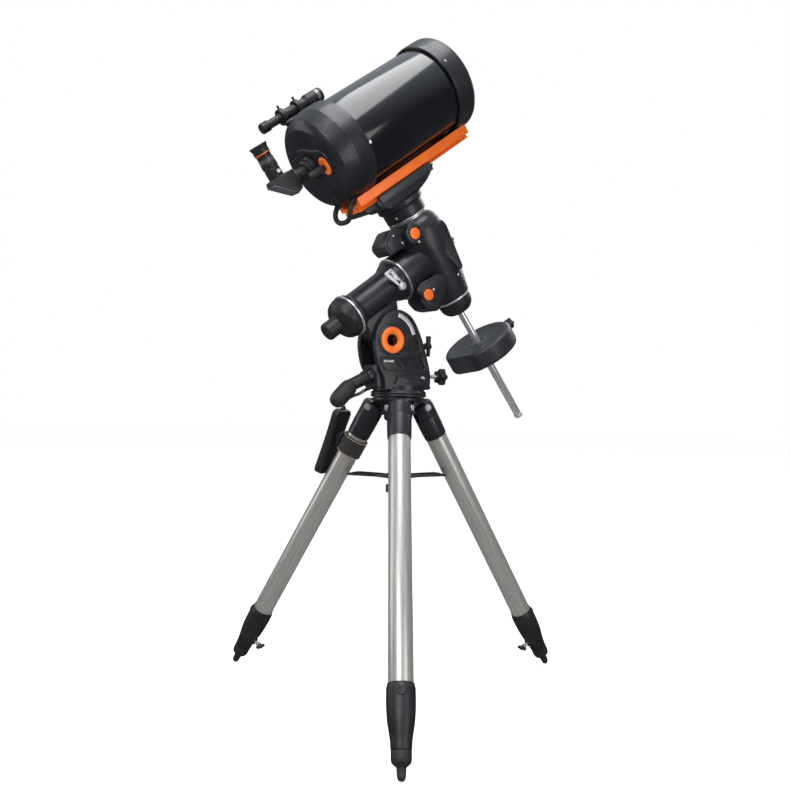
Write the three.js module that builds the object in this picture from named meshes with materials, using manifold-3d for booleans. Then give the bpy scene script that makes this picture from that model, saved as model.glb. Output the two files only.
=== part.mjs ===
// A 200 mm Schmidt-Cassegrain telescope on a German equatorial mount and a steel tripod.
// Millimetres, +Z up, +Y north. The origin is on the floor, at the centre of the overall box.
import * as THREE from "three";
import { mergeVertices } from "three/addons/utils/BufferGeometryUtils.js";
import Module from "manifold-3d";

const wasm = await Module();
wasm.setup();

const { PI, sin, cos, hypot, atan2 } = Math;
const deg = THREE.MathUtils.degToRad;
const V = (x, y, z) => new THREE.Vector3(x, y, z);

// ---------------------------------------------------------------- driving sizes
const GAP = 0.3; // clearance between touching pieces
const TRIPOD_AXIS_Y = -48; // tripod axis in the whole object's frame
const FLOOR_LIFT = 2.3; // the feet stand on their lower rims

const FOOT_R = 480; // foot circle
const PIVOT_R = 68; // leg hinge circle
const PIVOT_Z = 684;
const LEAN = atan2(FOOT_R - PIVOT_R, PIVOT_Z);
const LEG_LENGTH = hypot(FOOT_R - PIVOT_R, PIVOT_Z);
const TUBE_R = 25.4; // leg tube
const ROD_R = 16; // inner leg
const LEGS = { a: -30, b: 90, c: 210 }; // azimuth from +X, degrees

const HEAD_TOP = 707.5;
const TRAY_Z = 516;
const TRAY_TIP = 133;

const LATITUDE = deg(36.5);
const PIVOT = { y: -47, z: 841 }; // latitude axle, along X
const AXES_CROSS = V(0, 80.8, 1057.3); // where the two turning axes meet
const LOBE = { y: -231.4, z: -97.9 }; // latitude axle in the tilted frame

const OTA_Z = 323; // optical axis above the polar axis
const OTA_TUBE_R = 108.5;
const OTA_CELL_R = 115.5;
const OTA_BACK = -156;
const OTA_FRONT = 271;
const OTA_SIDES = 28;

// ---------------------------------------------------------------- materials
const paint = (color, roughness, metalness = 0) =>
  new THREE.MeshStandardMaterial({ color, roughness, metalness });
const CASTING = paint(0x23262b, 0.55, 0.2);
const GLOSS_BLACK = paint(0x0c0e12, 0.12, 0.3);
const BLACK_PLASTIC = paint(0x1c1e22, 0.6);
const ORANGE = paint(0xf37321, 0.4, 0.5);
const STEEL = paint(0xbeb9b2, 0.35, 0.9);
const SILVER = paint(0xcfd1d2, 0.3, 0.9);
const CHROME = paint(0xd8dadd, 0.1, 1);
const GLASS = paint(0xd5e2ea, 0.03);
const MIRROR = paint(0xeef2f5, 0.02, 1);
const WEBBING = paint(0x1a1a1b, 0.9);

// ---------------------------------------------------------------- solids
function solidOf(geometry) {
  const bare = geometry.index ? geometry.toNonIndexed() : geometry.clone();
  bare.deleteAttribute("normal");
  bare.deleteAttribute("uv");
  const merged = mergeVertices(bare, 1e-4);
  return new wasm.Manifold(
    new wasm.Mesh({
      numProp: 3,
      vertProperties: new Float32Array(merged.attributes.position.array),
      triVerts: new Uint32Array(merged.index.array),
    }),
  );
}

function geometryOf(solid) {
  const mesh = solid.getMesh();
  const geometry = new THREE.BufferGeometry();
  geometry.setAttribute("position", new THREE.BufferAttribute(mesh.vertProperties, 3));
  geometry.setIndex(new THREE.BufferAttribute(mesh.triVerts, 1));
  geometry.computeVertexNormals();
  return geometry;
}

const join = (...pieces) => geometryOf(pieces.map(solidOf).reduce((all, one) => all.add(one)));
const cut = (base, ...tools) =>
  geometryOf(tools.map(solidOf).reduce((left, one) => left.subtract(one), solidOf(base)));

// A closed outline, counterclockwise.
function outlineOf(points) {
  let area = 0;
  points.forEach(([x, y], i) => {
    const [nextX, nextY] = points[(i + 1) % points.length];
    area += x * nextY - nextX * y;
  });
  return area < 0 ? [...points].reverse() : points;
}

// Turns a closed [radius, height] outline about Z.
function turned(outline, sides = 24) {
  const points = outlineOf(outline).map(([r, h]) => new THREE.Vector2(r, h));
  points.push(points[0].clone());
  return new THREE.LatheGeometry(points, sides).rotateX(PI / 2);
}

// Turns a [radius, height] line that starts and ends on the axis, listed from low to high.
function turnedSolid(profile, sides = 24) {
  const points = profile.map(([r, h]) => new THREE.Vector2(r, h));
  return new THREE.LatheGeometry(points, sides).rotateX(PI / 2);
}

const ring = (outer, inner, low, high, sides = 24) =>
  turned([[inner, low], [outer, low], [outer, high], [inner, high]], sides);

const disc = (radius, low, high, sides = 24) =>
  new THREE.CylinderGeometry(radius, radius, high - low, sides)
    .rotateX(PI / 2)
    .translate(0, 0, (low + high) / 2);

const box = (x0, x1, y0, y1, z0, z1) =>
  new THREE.BoxGeometry(x1 - x0, y1 - y0, z1 - z0).translate(
    (x0 + x1) / 2,
    (y0 + y1) / 2,
    (z0 + z1) / 2,
  );

// A round bar between two points.
function bar(from, to, radius, sides = 16, endRadius = radius) {
  const along = to.clone().sub(from);
  const turn = new THREE.Quaternion().setFromUnitVectors(V(0, 1, 0), along.clone().normalize());
  return new THREE.CylinderGeometry(endRadius, radius, along.length(), sides)
    .applyQuaternion(turn)
    .translate(...from.clone().add(to).multiplyScalar(0.5).toArray());
}

function shapeOf(points, windows = []) {
  const shape = new THREE.Shape(points.map(([x, y]) => new THREE.Vector2(x, y)));
  windows.forEach((hole) =>
    shape.holes.push(new THREE.Path(hole.map(([x, y]) => new THREE.Vector2(x, y)))),
  );
  return shape;
}

// An outline in X and Y, raised along Z.
const plateZ = (points, low, high, windows) =>
  new THREE.ExtrudeGeometry(shapeOf(points, windows), {
    depth: high - low,
    bevelEnabled: false,
  }).translate(0, 0, low);

// An outline in Y and Z, raised along X.
function plateX(points, low, high) {
  const axes = new THREE.Matrix4().makeBasis(V(0, 1, 0), V(0, 0, 1), V(1, 0, 0));
  return new THREE.ExtrudeGeometry(shapeOf(points), {
    depth: high - low,
    bevelEnabled: false,
  })
    .applyMatrix4(axes)
    .translate(low, 0, 0);
}

// An outline in X and Z, raised along Y.
function plateY(points, low, high) {
  const axes = new THREE.Matrix4().makeBasis(V(0, 0, 1), V(1, 0, 0), V(0, 1, 0));
  const flipped = points.map(([x, z]) => [z, x]);
  return new THREE.ExtrudeGeometry(shapeOf(outlineOf(flipped)), {
    depth: high - low,
    bevelEnabled: false,
  })
    .applyMatrix4(axes)
    .translate(0, low, 0);
}

// A smooth closed outline through a few points.
function smooth(points, count) {
  const curve = new THREE.SplineCurve(
    [...points, points[0]].map(([x, y]) => new THREE.Vector2(x, y)),
  );
  return curve.getPoints(count).slice(0, -1).map((p) => [p.x, p.y]);
}

const circle = (x, y, radius, sides = 24) =>
  Array.from({ length: sides }, (_, i) => {
    const angle = (2 * PI * i) / sides;
    return [x + radius * cos(angle), y + radius * sin(angle)];
  });

// A knob with lobes round Z.
function starKnob(radius, low, high, lobes = 5) {
  const outline = Array.from({ length: lobes * 6 }, (_, i) => {
    const angle = (2 * PI * i) / (lobes * 6);
    const reach = radius * (0.87 + 0.13 * cos(lobes * angle));
    return [reach * cos(angle), reach * sin(angle)];
  });
  return plateZ(outline, low, high);
}

// Geometry drawn about Z, laid along Y or along X.
const alongY = (geometry) => geometry.rotateX(-PI / 2);
const alongX = (geometry) => geometry.rotateY(PI / 2);

function part(name, geometry, material, parent) {
  const mesh = new THREE.Mesh(geometry, material);
  mesh.name = name;
  parent.add(mesh);
  return mesh;
}

// ---------------------------------------------------------------- frames
const telescope = new THREE.Group();
const tripod = new THREE.Group();
tripod.position.set(0, TRIPOD_AXIS_Y, FLOOR_LIFT);
telescope.add(tripod);

// The equatorial frame: +Y along the polar axis, +Z from the axes' crossing to the tube.
const equatorial = new THREE.Group();
equatorial.position.copy(AXES_CROSS);
equatorial.rotation.x = LATITUDE;
tripod.add(equatorial);

// ---------------------------------------------------------------- tripod head and tray
function tripodHead() {
  const pieces = [
    disc(34, 652, HEAD_TOP - 7.5, 20),
    disc(62, HEAD_TOP - 7.5, HEAD_TOP, 24),
    disc(6, 468, 653, 12),
  ];
  for (const azimuth of Object.values(LEGS)) {
    const tongue = [
      [20, HEAD_TOP - 7],
      [20, 660],
      [PIVOT_R - 8, PIVOT_Z - 13],
      [PIVOT_R + 4, PIVOT_Z - 12.4],
      [PIVOT_R + 11, PIVOT_Z - 7],
      [PIVOT_R + 13, PIVOT_Z],
      [PIVOT_R + 9, PIVOT_Z + 9.4],
      [PIVOT_R - 8, HEAD_TOP - 7],
    ];
    // The plate is drawn with its outline in Y and Z, so the azimuth turns it from +Y.
    pieces.push(plateX(outlineOf(tongue), -8, 8).rotateZ(deg(azimuth - 90)));
  }
  const holes = Object.values(LEGS).map((azimuth) =>
    bar(V(-12, PIVOT_R, PIVOT_Z), V(12, PIVOT_R, PIVOT_Z), 5.4, 12).rotateZ(deg(azimuth - 90)),
  );
  return cut(join(...pieces), ...holes);
}

function trayOutline() {
  const points = [];
  for (const azimuth of Object.values(LEGS)) {
    const turn = deg(azimuth);
    const arm = [
      [22, -27],
      [48, -19],
      [100, -23],
      [TRAY_TIP - 6, -25],
      [TRAY_TIP, -14],
      [TRAY_TIP - 4, 0],
      [TRAY_TIP, 14],
      [TRAY_TIP - 6, 25],
      [100, 23],
      [48, 19],
    ];
    for (const [out, side] of arm) {
      points.push([out * cos(turn) - side * sin(turn), out * sin(turn) + side * cos(turn)]);
    }
  }
  return points;
}

function trayWindows() {
  return Object.values(LEGS).map((azimuth) => {
    const turn = deg(azimuth);
    const loop = [
      [38, -8],
      [44, -11.5],
      [102, -15],
      [112, -15],
      [116, -10],
      [116, 10],
      [112, 15],
      [102, 15],
      [44, 11.5],
      [38, 8],
    ].reverse();
    return loop.map(([out, side]) => [
      out * cos(turn) - side * sin(turn),
      out * sin(turn) + side * cos(turn),
    ]);
  });
}

function spreaderTray() {
  const flat = plateZ(trayOutline(), TRAY_Z, TRAY_Z + 5, trayWindows());
  const hub = disc(26, TRAY_Z, TRAY_Z + 10, 24);
  return cut(join(flat, hub), disc(6.4, TRAY_Z - 5, TRAY_Z + 20, 16));
}

function tensionKnob() {
  const wheel = starKnob(27, 480, 500, 6);
  const neck = disc(13, 499, TRAY_Z - GAP, 16);
  return cut(join(wheel, neck), disc(6.4, 460, TRAY_Z + 5, 16));
}

part("tripod_head", tripodHead(), CASTING, tripod);
part("spreader_tray", spreaderTray(), CASTING, tripod);
part("tension_knob", tensionKnob(), BLACK_PLASTIC, tripod);

// ---------------------------------------------------------------- legs
// Leg frame: origin on the leg hinge, -Z down the leg, +X outward, Y along the hinge.
const SOCKET_END = -81;
const SLEEVE_TOP = -622;
const SLEEVE_END = -745;
const TUBE_END = -634;

function legSocket() {
  const solid = turnedSolid(
    [
      [0, -41],
      [25.7, -41],
      [25.7, SOCKET_END],
      [27.6, SOCKET_END],
      [28.6, -50],
      [28.4, 7],
      [24, 13],
      [0, 13],
    ],
    20,
  );
  const slotted = cut(solid, box(-40, 40, -8.3, 8.3, -24, 30));
  return join(slotted, bar(V(0, -15, 0), V(0, 15, 0), 5, 12));
}

function legSleeve() {
  return turned(
    [
      [25.7, SLEEVE_TOP],
      [27.3, SLEEVE_TOP],
      [29.4, -652],
      [28.6, -682],
      [21.2, -730],
      [20.2, SLEEVE_END],
      [16.3, SLEEVE_END],
      [16.3, TUBE_END - 4],
      [25.7, TUBE_END - 4],
    ],
    20,
  );
}

function legExtension() {
  const foot = turnedSolid(
    [
      [0, -LEG_LENGTH],
      [4.5, -LEG_LENGTH],
      [8, -LEG_LENGTH + 5],
      [9.5, -774],
      [18.5, -767],
      [20.2, -757],
      [20.2, SLEEVE_END - GAP],
      [0, SLEEVE_END - GAP],
    ],
    16,
  );
  const rod = ring(ROD_R, 13.4, SLEEVE_END - 1, -185, 16);
  return join(foot, rod);
}

function legGroup(azimuth) {
  const group = new THREE.Group();
  group.rotation.z = deg(azimuth);
  const leg = new THREE.Group();
  leg.position.set(PIVOT_R, 0, PIVOT_Z);
  leg.rotation.y = -LEAN;
  group.add(leg);
  tripod.add(group);
  return leg;
}

const LOCK_Z = -712;

function lockScrew() {
  const stem = bar(V(-25.6, 0, LOCK_Z), V(-37, 0, LOCK_Z), 4, 12);
  const cone = bar(V(-34, 0, LOCK_Z), V(-42, 0, LOCK_Z), 7, 12);
  const wings = box(-50, -40, -15, 15, LOCK_Z - 3.5, LOCK_Z + 3.5);
  return join(stem, cone, wings);
}

const legs = {};
for (const [name, azimuth] of Object.entries(LEGS)) {
  const leg = legGroup(azimuth);
  legs[name] = leg;
  part(`leg_socket_${name}`, legSocket(), CASTING, leg);
  part(`leg_tube_${name}`, ring(TUBE_R, 23.4, TUBE_END, -42, 20), STEEL, leg);
  part(`leg_sleeve_${name}`, legSleeve(), BLACK_PLASTIC, leg);
  part(`leg_extension_${name}`, legExtension(), BLACK_PLASTIC, leg);
  part(`leg_lock_screw_${name}`, lockScrew(), SILVER, leg);
}

// ---------------------------------------------------------------- hand controller
// It hangs on the outer side of leg c, its top tilted away from the leg.
const CONTROLLER = { x: 53.4, z: -135, tilt: deg(11.2), length: 168, width: 62, depth: 20 };

function handController() {
  const { length, width, depth } = CONTROLLER;
  const outline = smooth(
    [
      [-width / 2, -length / 2 + 10],
      [-width / 2 + 10, -length / 2],
      [width / 2 - 10, -length / 2],
      [width / 2, -length / 2 + 10],
      [width / 2 - 3, 20],
      [width / 2, length / 2 - 10],
      [width / 2 - 10, length / 2],
      [-width / 2 + 10, length / 2],
      [-width / 2, length / 2 - 10],
      [-width / 2 + 3, 20],
    ],
    30,
  );
  const shell = plateX(outlineOf(outline), -depth / 2, depth / 2);
  const boot = bar(V(0, 0, length / 2 - 2), V(0, 0, length / 2 + 9), 6.5, 12, 5);
  return join(shell, boot);
}

function controllerStrap() {
  const band = ring(31, TUBE_R + GAP, -135, -89, 20);
  const buckle = box(25, 36, -17, 17, -130, -94);
  const hook = plateY([[34, -124], [45.2, -122], [48.6, -104], [34, -98]], -14, 14);
  const hollow = disc(TUBE_R + GAP, -140, -80, 20);
  return cut(join(band, buckle, hook), hollow);
}

const controller = part("hand_controller", handController(), BLACK_PLASTIC, legs.c);
controller.position.set(CONTROLLER.x, 0, CONTROLLER.z);
controller.rotation.y = CONTROLLER.tilt;
part("controller_strap", controllerStrap(), WEBBING, legs.c);

// The curly cord runs from the controller's boot to the mouth of the socket in the mount's
// base, in the upright plane of leg c, given here as [distance out, height].
const CORD_R = 4.6;
const CORD_ROUTE = [
  [151.6, 683.9],
  [147, 695],
  [138, 704],
  [124, 710],
  [108, 715],
  [93, 723.5],
  [79, 729.5],
  [64.5, 730],
];

function controllerCord() {
  const section = shapeOf(circle(0, 0, CORD_R, 8));
  const route = new THREE.CatmullRomCurve3(CORD_ROUTE.map(([out, high]) => V(out, 0, high)));
  return new THREE.ExtrudeGeometry(section, {
    steps: 12,
    extrudePath: route,
    bevelEnabled: false,
  }).rotateZ(deg(LEGS.c));
}
part("controller_cord", controllerCord(), BLACK_PLASTIC, tripod);

// ---------------------------------------------------------------- mount base
const BASE_LOW = 708;
const FORK_IN = 29; // inner faces of the two side plates
const FORK_OUT = 43;

function mountFork() {
  const base = turnedSolid(
    [
      [0, BASE_LOW],
      [64, BASE_LOW],
      [66.4, 711],
      [66.4, 719],
      [64, 722],
      [61, 724],
      [61, 737],
      [0, 737],
    ],
    24,
  );
  const plateLine = smooth(
    [
      [-62, 726],
      [-66, 752],
      [-84, 790],
      [-91, 838],
      [-80, 878],
      [-58, 903],
      [-29, 913],
      [2, 902],
      [22, 878],
      [41, 837],
      [56, 790],
      [62, 764],
      [62, 726],
      [0, 726],
    ],
    24,
  );
  const east = plateX(outlineOf(plateLine), FORK_IN, FORK_OUT);
  const west = plateX(outlineOf(plateLine), -FORK_OUT, -FORK_IN);
  const pads = [-1, 1].map((side) =>
    bar(V(side * 40, PIVOT.y, PIVOT.z), V(side * 46, PIVOT.y, PIVOT.z), 36, 20),
  );
  const rearWeb = plateX([[-76, 730], [-56, 730], [-56, 784], [-80, 784]], -30, 30);
  const frontWeb = plateX([[44, 730], [61, 730], [56, 790], [44, 842], [34, 842], [40, 790]], -30, 30);
  const ribs = [-1, 1].map((side) =>
    plateX(
      [[-40, 730], [50, 730], [58, 744], [20, 762], [-30, 758]],
      side > 0 ? 42 : -50,
      side > 0 ? 50 : -42,
    ),
  );
  const northBoss = bar(V(0, 50, 759), V(0, 72, 759), 12, 12);
  const westBoss = bar(V(-30, 8, 759), V(-58, 8, 759), 12, 12);
  const body = join(base, east, west, ...pads, rearWeb, frontWeb, ...ribs, northBoss, westBoss);
  return cut(
    body,
    bar(V(-60, PIVOT.y, PIVOT.z), V(60, PIVOT.y, PIVOT.z), 17.3, 20),
    bar(V(0, -100, 750.5), V(0, -30, 773.9), 8.4, 12),
    bar(V(0, 25, 833), V(0, 80, 833), 5.3, 12),
    bar(V(0, 20, 759), V(0, 90, 759), 5.3, 12),
    bar(V(0, 8, 759), V(-90, 8, 759), 5.3, 12),
    // The cord's socket faces leg c.
    bar(V(50, 0, 730), V(80, 0, 730), 5.4, 12).rotateZ(deg(LEGS.c)),
  );
}

function latitudeAxle() {
  const tube = turned(
    [
      [13.5, -51],
      [27, -51],
      [31, -48.5],
      [31, -46.3],
      [17, -46.3],
      [17, 46.3],
      [31, 46.3],
      [31, 48.5],
      [27, 51],
      [13.5, 51],
    ],
    20,
  );
  return alongX(tube);
}

function starScrew(reach, knobLow, knobHigh, radius) {
  const shaft = disc(5, -reach, knobLow + 1, 12);
  return join(shaft, starKnob(radius, knobLow, knobHigh), disc(9, knobLow - 5, knobLow + 1, 16));
}

const HANDLE_DROP = deg(-18.5);

function latitudeHandle() {
  // Drawn along -Y from the rear web, then dropped to its screw's slope.
  const screw = bar(V(0, 30, 0), V(0, -12, 0), 8, 12);
  const stem = bar(V(0, -10, 0), V(0, -66, -6), 15, 16);
  const grip = new THREE.CapsuleGeometry(20, 34, 3, 12);
  const turn = atan2(26, 52);
  grip.rotateX(turn).rotateX(PI / 2).translate(0, -84, -18);
  return join(screw, stem, grip);
}

function latitudeScrew() {
  const shaft = bar(V(0, -26, 0), V(0, 34, 0), 5, 12);
  const tee = bar(V(0, 32, -25), V(0, 32, 25), 5.5, 12);
  const hub = bar(V(0, 22, 0), V(0, 38, 0), 8, 14);
  return join(shaft, tee, hub);
}

part("mount_fork", mountFork(), CASTING, tripod);
part("latitude_axle", latitudeAxle(), ORANGE, tripod).position.set(0, PIVOT.y, PIVOT.z);
part("azimuth_knob_north", alongY(starScrew(48, -9, 9, 21)), BLACK_PLASTIC, tripod)
  .position.set(0, 122, 759);
part("azimuth_knob_west", starScrew(44, -9, 9, 21).rotateY(-PI / 2), BLACK_PLASTIC, tripod)
  .position.set(-98, 8, 759);
const handle = part("latitude_handle", latitudeHandle(), BLACK_PLASTIC, tripod);
handle.position.set(0, -76, 758.5);
handle.rotation.x = -HANDLE_DROP;
part("latitude_screw", latitudeScrew(), BLACK_PLASTIC, tripod).position.set(0, 52, 833);

// ---------------------------------------------------------------- polar axis, fixed half
const LEVER_Y = -140; // clutch lever along the polar axis

function raHousing() {
  const tube = alongY(
    turned(
      [
        [24, -266],
        [46.5, -266],
        [47.5, -260],
        [41.5, -252],
        [41, -152],
        [49, -132],
        [50.5, -119],
        [24, -119],
      ],
      24,
    ),
  );
  const lobe = plateX(
    outlineOf([
      [-262, -20],
      [-260, -62],
      [-256, -84],
      ...circle(LOBE.y, LOBE.z, 28, 20).slice(10, 20),
      [-196, -76],
      [-166, -52],
      [-150, -20],
    ]),
    -28,
    28,
  );
  const bore = alongY(disc(24, -300, -100, 20));
  const axleHole = bar(V(-40, LOBE.y, LOBE.z), V(40, LOBE.y, LOBE.z), 17.3, 20);
  const leverHole = bar(V(20, LEVER_Y, -8), V(80, LEVER_Y, -8), 4.3, 12);
  return cut(join(tube, lobe), bore, axleHole, leverHole);
}

function polarCap() {
  return alongY(
    turnedSolid(
      [
        [0, -345],
        [19, -345],
        [21.3, -342],
        [21.3, -310],
        [36, -303],
        [46, -297],
        [48.5, -273],
        [50.5, -273],
        [50.5, -268],
        [23.4, -266.3],
        [23.4, -258],
        [0, -258],
      ],
      20,
    ),
  );
}

function raLever() {
  const hub = bar(V(50, LEVER_Y, -8), V(57.5, LEVER_Y, -8), 11, 16);
  const pin = bar(V(30, LEVER_Y, -8), V(51, LEVER_Y, -8), 4, 12);
  const arm = plateX(
    outlineOf([
      [LEVER_Y - 6, -14],
      [LEVER_Y + 8, -10],
      [LEVER_Y - 8, 27],
      [LEVER_Y - 11, 36],
      [LEVER_Y - 19, 36],
      [LEVER_Y - 20, 27],
    ]),
    51.5,
    56.5,
  );
  return join(hub, pin, arm);
}

part("ra_housing", raHousing(), CASTING, equatorial);
part("polar_cap", polarCap(), BLACK_PLASTIC, equatorial);
part("ra_setting_circle", alongY(ring(56, 30, -118.6, -113, 28)), SILVER, equatorial);
part("ra_clutch_lever", raLever(), SILVER, equatorial);

// ---------------------------------------------------------------- turning half and counterweight
function decHousing() {
  const barrel = turnedSolid(
    [
      [0, -121],
      [44.5, -121],
      [56, -60],
      [67, 20],
      [68.5, 50],
      [66, 70],
      [60, 86],
      [51, 96],
      [50, 99.6],
      [0, 99.6],
    ],
    28,
  );
  const polarEnd = alongY(disc(54.5, -112.6, -30, 28));
  const raWorm = plateX(
    outlineOf([
      [-118, -66],
      [-112.6, -58],
      [-112.6, -38],
      [-96, -30],
      [-38, -38],
      [-22, -52],
      [-24, -72],
      [-72, -106],
      [-92, -110],
      [-112, -92],
    ]),
    -6,
    60,
  );
  const decWorm = bar(V(-10, -44, 74), V(60, -44, 74), 24, 18);
  const decWormArm = plateX([[-62, 62], [-40, 54], [10, 60], [10, 82], [-40, 96], [-60, 90]], -30, 52);
  const body = join(barrel, polarEnd, raWorm, decWorm, decWormArm);
  return cut(
    body,
    disc(20, 30, 110, 20),
    disc(10, -130, -70, 16),
    alongY(disc(20, -120, -60, 20)),
    bar(V(0, 50, -3), V(0, 90, -3), 4.3, 12),
  );
}

function motorCover() {
  const outline = [[-69, 108], [-91, 112], [-122, 95], [-127, 84], [-121, 62], [-69, 60]];
  return plateX(outlineOf(outline), -14, 50);
}

function decEndCap() {
  return cut(
    turnedSolid(
      [
        [0, -164],
        [27, -164],
        [31, -162],
        [39, -152],
        [43.5, -126],
        [46, -126],
        [46, -121.3],
        [0, -121.3],
      ],
      24,
    ),
    disc(10, -180, -100, 16),
  );
}

function counterweight() {
  const weight = turned(
    [
      [10, -300],
      [86, -300],
      [91, -295],
      [91, -257],
      [87, -252],
      [74, -252],
      [62, -258],
      [10, -258],
    ],
    28,
  );
  // The flat side faces away from the clamp screw.
  const flat = box(-70, 70, -130, -77, -310, -240).rotateZ(deg(11));
  const screwHole = bar(V(0, 5, -276), V(0, 100, -276), 5.3, 12);
  return cut(weight, flat, screwHole);
}

part("dec_housing", decHousing(), CASTING, equatorial);
part("dec_motor_cover", motorCover(), CASTING, equatorial);
part("dec_end_cap", decEndCap(), BLACK_PLASTIC, equatorial);
part("ra_shaft", alongY(ring(19.7, 12, -254, -62, 20)), STEEL, equatorial);
part("dec_clutch_knob", join(bar(V(0, 56, -3), V(0, 69, -3), 4, 12), bar(V(0, 67.5, -3), V(0, 79, -3), 15, 16)),
  BLACK_PLASTIC, equatorial);
part("counterweight_shaft", disc(9.4, -482, -72, 16), CHROME, equatorial);
part("counterweight", counterweight(), CASTING, equatorial);
part("counterweight_knob", alongY(starScrew(92, 0, 18, 15)), BLACK_PLASTIC, equatorial)
  .position.set(0, 102, -276);
part("safety_screw", disc(10.5, -492, -482.3, 16), SILVER, equatorial);

// ---------------------------------------------------------------- declination head and saddle
function decHead() {
  return turnedSolid(
    [
      [0, 36],
      [19.5, 36],
      [19.5, 109.6],
      [51.5, 109.6],
      [52.5, 137],
      [58.5, 139],
      [58.5, 150],
      [0, 150],
    ],
    28,
  );
}

const SADDLE_TOP = 183;
const JAW_X = 38.4;
const SADDLE_SCREWS = [-42, 66];

function saddle() {
  const keel = plateX(
    outlineOf([
      [-83, 172],
      [-58, 150.3],
      [44, 150.3],
      [72, 158],
      [92, 168],
      [107, 179],
      [107, SADDLE_TOP],
      [-83, SADDLE_TOP],
    ]),
    -44,
    44,
  );
  const tail = plateX([[-118, 174], [-112, 168], [-70, 166], [-70, SADDLE_TOP], [-118, SADDLE_TOP]], -40, 40);
  const eastJaw = box(JAW_X, 50, -74, 98, 170, 190);
  const westJaw = box(-50, -JAW_X, -74, 98, 170, 190);
  const holes = SADDLE_SCREWS.map((y) => bar(V(-60, y, 177), V(-20, y, 177), 4.3, 12));
  return cut(join(keel, tail, eastJaw, westJaw), ...holes);
}

function saddleKnob(y) {
  const stem = bar(V(-25, y, 177), V(-62, y, 177), 4, 12);
  const wheel = starKnob(15, 0, 16).rotateY(-PI / 2).translate(-60, y, 177);
  return join(stem, wheel);
}

part("dec_setting_circle", ring(51, 26, 100, 109.3, 28), SILVER, equatorial);
part("dec_head", decHead(), CASTING, equatorial);
part("saddle", saddle(), CASTING, equatorial);
part("saddle_knob_a", saddleKnob(SADDLE_SCREWS[0]), BLACK_PLASTIC, equatorial);
part("saddle_knob_b", saddleKnob(SADDLE_SCREWS[1]), BLACK_PLASTIC, equatorial);

// ---------------------------------------------------------------- optical tube
// Its own frame: the origin on the optical axis above the declination axis, +Y to the sky.
const ota = new THREE.Group();
ota.position.z = OTA_Z;
equatorial.add(ota);
const BAR_LOW = SADDLE_TOP + GAP - OTA_Z;

function dovetailBar() {
  const section = [
    [-37.5, BAR_LOW],
    [37.5, BAR_LOW],
    [33, BAR_LOW + 8],
    [47, BAR_LOW + 10],
    [48, BAR_LOW + 11],
    [48, BAR_LOW + 33],
    [38, BAR_LOW + 29],
    [31, BAR_LOW + 19],
    [-31, BAR_LOW + 19],
    [-38, BAR_LOW + 29],
    [-48, BAR_LOW + 33],
    [-48, BAR_LOW + 11],
    [-47, BAR_LOW + 10],
    [-33, BAR_LOW + 8],
  ];
  return plateY(section, -125, 243);
}

// A block between a cell and the bar, drawn with the tube along Z and its underside at +Y.
const mountBlock = (low, high) => box(-30, 30, 109.3, -(BAR_LOW + 19 + GAP), low, high);

function frontCell() {
  const shell = turned(
    [
      [OTA_TUBE_R + GAP, 217],
      [114.5, 217],
      [OTA_CELL_R, 219],
      [OTA_CELL_R, 267],
      [113, OTA_FRONT],
      [110, OTA_FRONT],
      [104, 262],
      [101, 262],
      [101, 257.6],
      [105.5, 257.6],
      [105.5, 252],
      [101, 252],
      [101, 245],
      [OTA_TUBE_R + GAP, 245],
    ],
    OTA_SIDES,
  );
  return alongY(join(shell, mountBlock(222, 248)));
}

function rearCell() {
  const cup = turned(
    [
      [OTA_TUBE_R + GAP, -65],
      [114.5, -65],
      [OTA_CELL_R, -67],
      [OTA_CELL_R, -108],
      [112, -128],
      [104, -146],
      [93, -153.5],
      [80, OTA_BACK],
      [19.6, OTA_BACK],
      [19.6, 70],
      [22, 70],
      [22, -149],
      [86, -148],
      [104, -130],
      [104, -97],
      [OTA_TUBE_R + GAP, -97],
    ],
    OTA_SIDES,
  );
  const focusHole = bar(V(50, 12, -165), V(50, 12, -138), 7, 14);
  return alongY(cut(join(cup, mountBlock(-112, -78)), focusHole));
}

part("dovetail_bar", dovetailBar(), ORANGE, ota);
part("optical_tube", alongY(ring(OTA_TUBE_R, 106.5, -96.7, 244.7, OTA_SIDES)), GLOSS_BLACK, ota);
part("front_cell", frontCell(), CASTING, ota);
part("rear_cell", rearCell(), CASTING, ota);
part("corrector_plate", alongY(ring(105.2, 32.3, 252.3, 257.3, OTA_SIDES)), GLASS, ota);
part("secondary_holder", alongY(turnedSolid(
  [
    [0, 232],
    [28, 232],
    [32, 236],
    [32, 251.7],
    [32, 258],
    [35, 258],
    [35, 266],
    [31, 269],
    [0, 269],
  ],
  24,
)), BLACK_PLASTIC, ota);
part("primary_mirror", alongY(ring(101.6, 22.5, -104, -82, OTA_SIDES)), MIRROR, ota);

// ---------------------------------------------------------------- rear accessories
const FOCUS = { x: 50, z: -12 };

function focusKnob() {
  const axle = bar(V(0, -152, 0), V(0, -168, 0), 6, 12);
  const grip = bar(V(0, -166, 0), V(0, -206, 0), 11.5, 16, 9.5);
  return join(axle, grip);
}

function visualBack() {
  return alongY(
    turned(
      [
        [16.3, -181],
        [22, -181],
        [24, -179],
        [24, -167],
        [27, -165],
        [27, OTA_BACK - GAP],
        [16.3, OTA_BACK - GAP],
      ],
      24,
    ),
  );
}

const DIAGONAL_Y = -248;

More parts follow.
